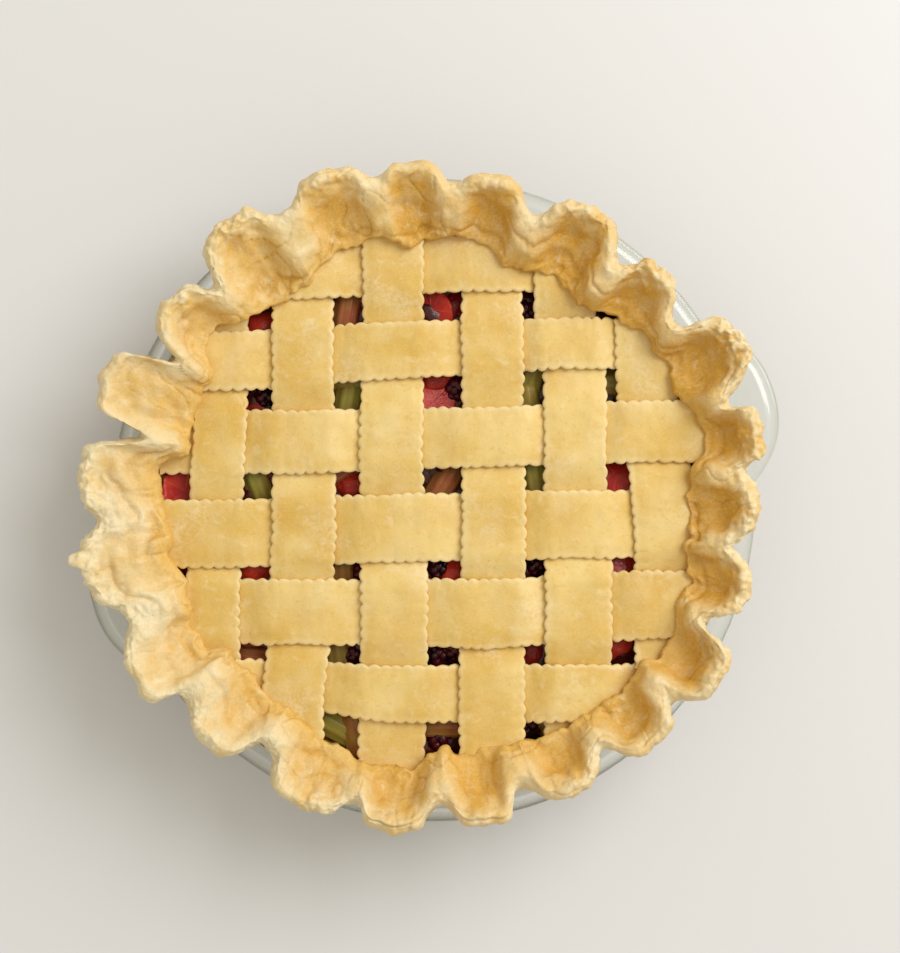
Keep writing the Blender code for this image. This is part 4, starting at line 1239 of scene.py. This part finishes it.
def from_spots(ball, count):
    """Angle from each point of a sphere to the nearest of some spots spread evenly over it."""
    index = np.arange(count) + 0.5
    up = 1.0 - 2.0 * index / count
    turn = index * math.pi * (3.0 - math.sqrt(5.0))
    flat = np.sqrt(1.0 - up ** 2)
    spots = np.stack([flat * np.cos(turn), flat * np.sin(turn), up], axis=1)
    return np.arccos(np.clip((ball @ spots.T).max(axis=1), -1.0, 1.0))


def strawberry_master():
    """One strawberry lying along X, tapered to its tip and dimpled where its seeds sit."""
    bpy.ops.object.select_all(action="DESELECT")
    bpy.ops.mesh.primitive_uv_sphere_add(segments=72, ring_count=44, radius=1.0)
    piece = bpy.context.object
    ball = read_points(piece.data)
    away = from_spots(ball, STRAWBERRY_SEEDS)
    ball = ball[:, [2, 0, 1]]
    dimple = hump(away, 0.0, 0.075)
    length, breadth, height = FRUIT_SIZES["berry"]
    taper = 1.0 - 0.28 * ball[:, 0]
    grown = 1.0 + 0.05 * soft_noise(ball, 0.8, 91) - 0.045 * dimple
    shaped = np.stack([
        ball[:, 0] * length * grown, ball[:, 1] * breadth * taper * grown,
        ball[:, 2] * height * taper * grown], axis=1)
    write_points(piece.data, shaped)
    write_values(piece.data, "seed", hump(away, 0.0, 0.055))
    write_values(piece.data, "flesh", np.zeros(len(shaped)))
    return piece


def slice_master(berry):
    """A strawberry cut across, with its pale heart showing on the cut face."""
    piece = copy_piece(berry)
    level = 0.30 * FRUIT_SIZES["slice"][2]
    bpy.ops.object.mode_set(mode="EDIT")
    bpy.ops.mesh.select_mode(type="FACE")
    bpy.ops.mesh.select_all(action="SELECT")
    bpy.ops.mesh.bisect(
        plane_co=(0.0, 0.0, level), plane_no=SLICE_LEAN, clear_outer=True, use_fill=True)
    for size in SLICE_RINGS:
        bpy.ops.mesh.extrude_region_move(TRANSFORM_OT_translate={"value": (0.0, 0.0, -SLICE_SINK)})
        bpy.ops.transform.resize(value=(size, size, size))
    bpy.ops.object.mode_set(mode="OBJECT")
    points = read_points(piece.data)
    below = (points - (0.0, 0.0, level)) @ (np.array(SLICE_LEAN) / np.linalg.norm(SLICE_LEAN))
    length, breadth, _ = FRUIT_SIZES["slice"]
    reach = np.hypot(points[:, 0] / length, points[:, 1] / breadth)
    heart = np.where(below > -0.0005, np.clip(1.12 - reach, 0.0, 1.0), 0.0)
    write_values(piece.data, "flesh", heart)
    return piece


def stalk_master():
    """A short length of rhubarb along X: ribbed, hollowed underneath and cut square."""
    bpy.ops.object.select_all(action="DESELECT")
    bpy.ops.mesh.primitive_circle_add(
        vertices=40, radius=1.0, fill_type="NGON", location=(0.0, 0.0, -1.0))
    piece = bpy.context.object
    bpy.ops.object.transform_apply(location=True)
    bpy.ops.object.mode_set(mode="EDIT")
    bpy.ops.mesh.select_mode(type="FACE")
    bpy.ops.mesh.select_all(action="SELECT")
    step = (0.0, 0.0, 2.0 / STALK_LENGTHS)
    for _ in range(STALK_LENGTHS):
        bpy.ops.mesh.extrude_region_move(TRANSFORM_OT_translate={"value": step})
    for thickness in STALK_INSETS:
        bpy.ops.mesh.inset(thickness=thickness)
    bpy.ops.mesh.select_all(action="DESELECT")
    bpy.ops.object.mode_set(mode="OBJECT")
    for face in piece.data.polygons:
        face.select = face.center.z < -0.99 and len(face.vertices) > 4
    bpy.ops.object.mode_set(mode="EDIT")
    for thickness in STALK_INSETS:
        bpy.ops.mesh.inset(thickness=thickness)
    point_outward()
    rod = read_points(piece.data)[:, [2, 0, 1]]
    around = np.arctan2(rod[:, 2], rod[:, 1])
    out = np.hypot(rod[:, 1], rod[:, 2])
    ribs = 1.0 + 0.045 * np.cos(11.0 * around) * ease(out, 0.7, 1.0) + 0.03 * soft_noise(rod, 0.7, 92)
    ends = 1.0 - 0.10 * ease(np.abs(rod[:, 0]), 0.93, 1.0) * ease(out, 0.80, 1.0)
    length, breadth, height = FRUIT_SIZES["stalk"]
    belly = np.where(rod[:, 2] < 0.0, 0.72, 1.0)
    bend = 0.0007 * (1.0 - rod[:, 0] ** 2)
    shaped = np.stack([
        rod[:, 0] * length * (1.0 - 0.03 * (out < 0.5)), rod[:, 1] * breadth * ribs * ends,
        rod[:, 2] * height * ribs * ends * belly + bend], axis=1)
    write_points(piece.data, shaped)
    write_values(piece.data, "cut", ease(np.abs(rod[:, 0]), 0.97, 1.0) * (1.0 - ease(out, 0.86, 1.0)))
    write_values(piece.data, "rib", around / math.tau)
    return piece


def dark_berry_master():
    """One dark berry of round drupelets."""
    bpy.ops.object.select_all(action="DESELECT")
    bpy.ops.mesh.primitive_ico_sphere_add(subdivisions=5, radius=1.0)
    piece = bpy.context.object
    ball = read_points(piece.data)
    away = from_spots(ball, DRUPELETS)
    bulge = np.sqrt(np.maximum(1.0 - (away / DRUPELET_RADIUS) ** 2, 0.0))
    size = np.array(FRUIT_SIZES["dark"])
    write_points(piece.data, ball * size * (0.80 + 0.20 * bulge)[:, None])
    write_values(piece.data, "bead", bulge)
    return piece


def fruit_places(strips):
    """Where each piece of fruit lies, sunk clear of the lattice and the rim."""
    draw = random.Random(SEED)
    under = WEAVE_GAP / 2.0 + strips.thickness + FRUIT_CLEARANCE
    for kind, x, y, turn, tone in FRUIT:
        length, breadth, height = FRUIT_SIZES[kind]
        reach = max(length, breadth) + 0.0010
        radius = math.hypot(x, y)
        limit = foot_at(math.degrees(math.atan2(y, x)))[0] - 0.6 * reach
        if radius > limit:
            x, y = x * limit / radius, y * limit / radius
        tilt = draw.uniform(-9.0, 9.0)
        rise = abs(math.sin(math.radians(tilt))) * length + height
        corners = [(x, y)] + [(x + dx, y + dy) for dx in (-reach, reach) for dy in (-reach, reach)]
        top = min(weave_height(strips, *corner) for corner in corners) - under
        top -= draw.uniform(0.0, FRUIT_DROP)
        if kind == "slice":
            rise = 0.34 * height + abs(math.sin(math.radians(tilt))) * length
        yield kind, (x, y, top - rise), (0.0, math.radians(tilt), math.radians(turn)), tone


def strawberry_material(settings):
    """Strawberry skin with pale seeds, and wet cut flesh."""
    material, tree, shader = new_material("Strawberry")
    veins = noise(tree, 420.0, 4.0, Roughness=0.7, Distortion=1.2)
    skin = toned(tree, 240.0, 3.0, -0.18, 0.18, settings.strawberry_dark, settings.strawberry_bright)
    heart = sums(tree, "MULTIPLY", stored(tree, "flesh"), spread(tree, veins, 0.32, 0.62, 0.45, 1.0))
    skin = blend_colours(tree, spread(tree, heart, 0.05, 0.8), skin, settings.flesh)
    seeds = spread(tree, stored(tree, "seed"), 0.35, 0.9, 0.0, 0.55)
    colour = blend_colours(tree, seeds, skin, SEED_COLOUR)
    wire_wet(tree, shader, colour, veins, 0.22, 0.0004, 0.22)
    return material


def rhubarb_material(settings):
    """Rhubarb skin from green to pink, with strings along it and pale cut ends."""
    material, tree, shader = new_material("Rhubarb")
    across = put(tree, "ShaderNodeCombineXYZ", {"X": sums(tree, "MULTIPLY", stored(tree, "rib"), 34.0)})
    strings = put(tree, "ShaderNodeTexNoise", {
        "Vector": across.outputs[0], "Scale": 1.6, "Detail": 3.0}).outputs["Fac"]
    skin = toned(tree, 170.0, 4.0, -0.22, 0.22, settings.stalk_green, settings.stalk_pink)
    pale = tuple(min(1.0, 1.9 * part + 0.02) for part in settings.stalk_green)
    skin = blend_colours(tree, spread(tree, strings, 0.52, 0.70, 0.0, 0.22), skin, pale)
    ends = spread(tree, stored(tree, "cut"), 0.0, 1.0, 0.0, 0.6)
    colour = blend_colours(tree, ends, skin, CUT_COLOUR)
    wire_wet(tree, shader, colour, strings, 0.25, 0.0004, 0.22)
    return material


def dark_berry_material(settings):
    """Dark berries, black to wine red, wet on every drupelet, with painted shade in the gaps between
    them.
    """
    material, tree, shader = new_material("Dark berry")
    skin = toned(tree, 260.0, 2.0, -0.2, 0.3, settings.berry_black, settings.berry_wine)
    # Painted shade: the gaps between the drupelets are darkened to a fraction of the black.
    shade = tuple(0.4 * part for part in settings.berry_black)
    colour = blend_colours(tree, spread(tree, stored(tree, "bead"), 0.05, 0.5), shade, skin)
    wire_wet(tree, shader, colour, None, 0.20, 0.0003, 0.30)
    return material


def press_inside(mesh):
    """Presses fruit that would reach into the pastry case flat against its wall."""
    inside = lining_sections()[0]
    points = read_points(mesh)
    wall = np.interp(points[:, 2], inside[:, 1], inside[:, 0]) - FRUIT_CLEARANCE
    scale_out(points, np.minimum(1.0, wall / np.maximum(polar(points)[0], TINY)))
    write_points(mesh, points)


def make_fruit(settings, strips):
    """Models one of each kind of fruit and lays copies of it in the bed."""
    berry = strawberry_master()
    masters = {
        "berry": berry,
        "slice": slice_master(berry),
        "stalk": stalk_master(),
        "dark": dark_berry_master(),
    }
    laid = {kind: [] for kind in masters}
    for kind, place, turn, tone in fruit_places(strips):
        piece = copy_piece(masters[kind])
        piece.location, piece.rotation_euler = place, turn
        write_values(piece.data, "tone", np.full(len(piece.data.vertices), tone))
        laid[kind].append(piece)
    bpy.ops.object.select_all(action="DESELECT")
    for master in masters.values():
        master.select_set(True)
    bpy.ops.object.delete()
    for name, kinds, material in (
        ("strawberries", ("berry", "slice"), strawberry_material(settings)),
        ("rhubarb", ("stalk",), rhubarb_material(settings)),
        ("dark_berries", ("dark",), dark_berry_material(settings)),
    ):
        joined = join_pieces(name, [piece for kind in kinds for piece in laid[kind]])
        press_inside(joined.data)
        finish_piece(joined, material, "fruit", "filling")


def make_stage(settings):
    """A plain pale floor, a soft light from the far right, pale surroundings and the camera."""
    bpy.ops.object.select_all(action="DESELECT")
    bpy.ops.mesh.primitive_plane_add(size=FLOOR_SIZE)
    floor = bpy.context.object
    floor.name = floor.data.name = "plain_floor"
    material, tree, shader = new_material("Plain floor")
    cloud = noise(tree, 3.0, 2.0)
    shade = tuple(0.97 * part for part in settings.floor)
    tree.links.new(blend_colours(tree, cloud, shade, settings.floor), shader.inputs["Base Color"])
    tree.links.new(spread(tree, cloud, 0.3, 0.7, 0.40, 0.50), shader.inputs["Roughness"])
    floor.data.materials.append(material)
    floor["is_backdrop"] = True
    bpy.ops.object.light_add(type="AREA", location=KEY_PLACE)
    key = bpy.context.object
    key.name = key.data.name = "far_right_light"
    key.data.shape = "DISK"
    key.data.size = KEY_SIZE
    key.data.energy = settings.key_power
    key.data.color = KEY_COLOUR
    key.rotation_euler = (-key.location).to_track_quat("-Z", "Y").to_euler()
    scene = bpy.context.scene
    scene.world = scene.world or bpy.data.worlds.new("Pale surroundings")
    scene.world.use_nodes = True
    sky = scene.world.node_tree.nodes["Background"]
    sky.inputs["Color"].default_value = SKY_COLOUR
    sky.inputs["Strength"].default_value = settings.sky
    bpy.ops.object.camera_add(
        location=(CAMERA_X, CAMERA_Y, settings.camera_height), rotation=(0.0, 0.0, 0.0))
    camera = bpy.context.object
    camera.data.sensor_width = SENSOR_WIDTH
    camera.data.lens = SENSOR_WIDTH * VIEW_DISTANCE / VIEW_WIDTH
    camera.data.clip_start = 0.01
    scene.camera = camera
    scene.view_settings.view_transform = "Standard"


class PIE_OT_dish(bpy.types.Operator):
    """Make the clear dish with its two tabs"""

    bl_idname = "pie.dish"
    bl_label = "Clear dish"

    def execute(self, context):
        make_dish(context.scene.pie_dish)
        return {"FINISHED"}


class PIE_OT_crust(bpy.types.Operator):
    """Make the pastry case and its fluted rim"""

    bl_idname = "pie.crust"
    bl_label = "Pastry case"

    def execute(self, context):
        make_crust(context.scene.pie_crust, context.scene.pie_strips.flour)
        return {"FINISHED"}


class PIE_OT_bed(bpy.types.Operator):
    """Make the bed of packed fruit and juice"""

    bl_idname = "pie.bed"
    bl_label = "Bed of fruit"

    def execute(self, context):
        make_bed(context.scene.pie_fruit)
        return {"FINISHED"}


class PIE_OT_fruit(bpy.types.Operator):
    """Lay the strawberries, rhubarb and dark berries that show between the strips"""

    bl_idname = "pie.fruit"
    bl_label = "Fruit on top"

    def execute(self, context):
        make_fruit(context.scene.pie_fruit, context.scene.pie_strips)
        return {"FINISHED"}


class PIE_OT_lattice(bpy.types.Operator):
    """Weave the twelve pinked strips"""

    bl_idname = "pie.lattice"
    bl_label = "Woven strips"

    def execute(self, context):
        make_lattice(context.scene.pie_strips)
        return {"FINISHED"}


class PIE_OT_stage(bpy.types.Operator):
    """Make the floor, lights and camera"""

    bl_idname = "pie.stage"
    bl_label = "Stage"

    def execute(self, context):
        make_stage(context.scene.pie_stage)
        return {"FINISHED"}


class PIE_PT_panel(bpy.types.Panel):
    """The pie's steps and its sizes and colours"""

    bl_idname = "PIE_PT_panel"
    bl_label = "Lattice pie"
    bl_space_type = "VIEW_3D"
    bl_region_type = "UI"
    bl_category = "Pie"

    def draw(self, context):
        for step in STEPS:
            self.layout.operator(step.bl_idname)
        for name in SETTINGS:
            group = getattr(context.scene, name)
            box = self.layout.box()
            for label in group.__annotations__:
                box.prop(group, label)


STEPS = (PIE_OT_dish, PIE_OT_crust, PIE_OT_bed, PIE_OT_fruit, PIE_OT_lattice, PIE_OT_stage)
SETTINGS = {
    "pie_dish": DishSettings,
    "pie_crust": CrustSettings,
    "pie_strips": StripSettings,
    "pie_fruit": FruitSettings,
    "pie_stage": StageSettings,
}


def register():
    for kind in (*SETTINGS.values(), *STEPS, PIE_PT_panel):
        bpy.utils.register_class(kind)
    for name, kind in SETTINGS.items():
        setattr(bpy.types.Scene, name, PointerProperty(type=kind))


def unregister():
    for name in SETTINGS:
        delattr(bpy.types.Scene, name)
    for kind in reversed((*SETTINGS.values(), *STEPS, PIE_PT_panel)):
        bpy.utils.unregister_class(kind)


def main():
    """Makes the pie step by step."""
    register()
    bpy.ops.pie.dish()
    bpy.ops.pie.crust()
    bpy.ops.pie.bed()
    bpy.ops.pie.fruit()
    bpy.ops.pie.lattice()
    bpy.ops.pie.stage()
    sizes = {"cad": CAD_BOX, "visual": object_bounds()}
    {name: [list(corner) for corner in box] for name, box in sizes.items()}


if __name__ == "__main__":
    main()
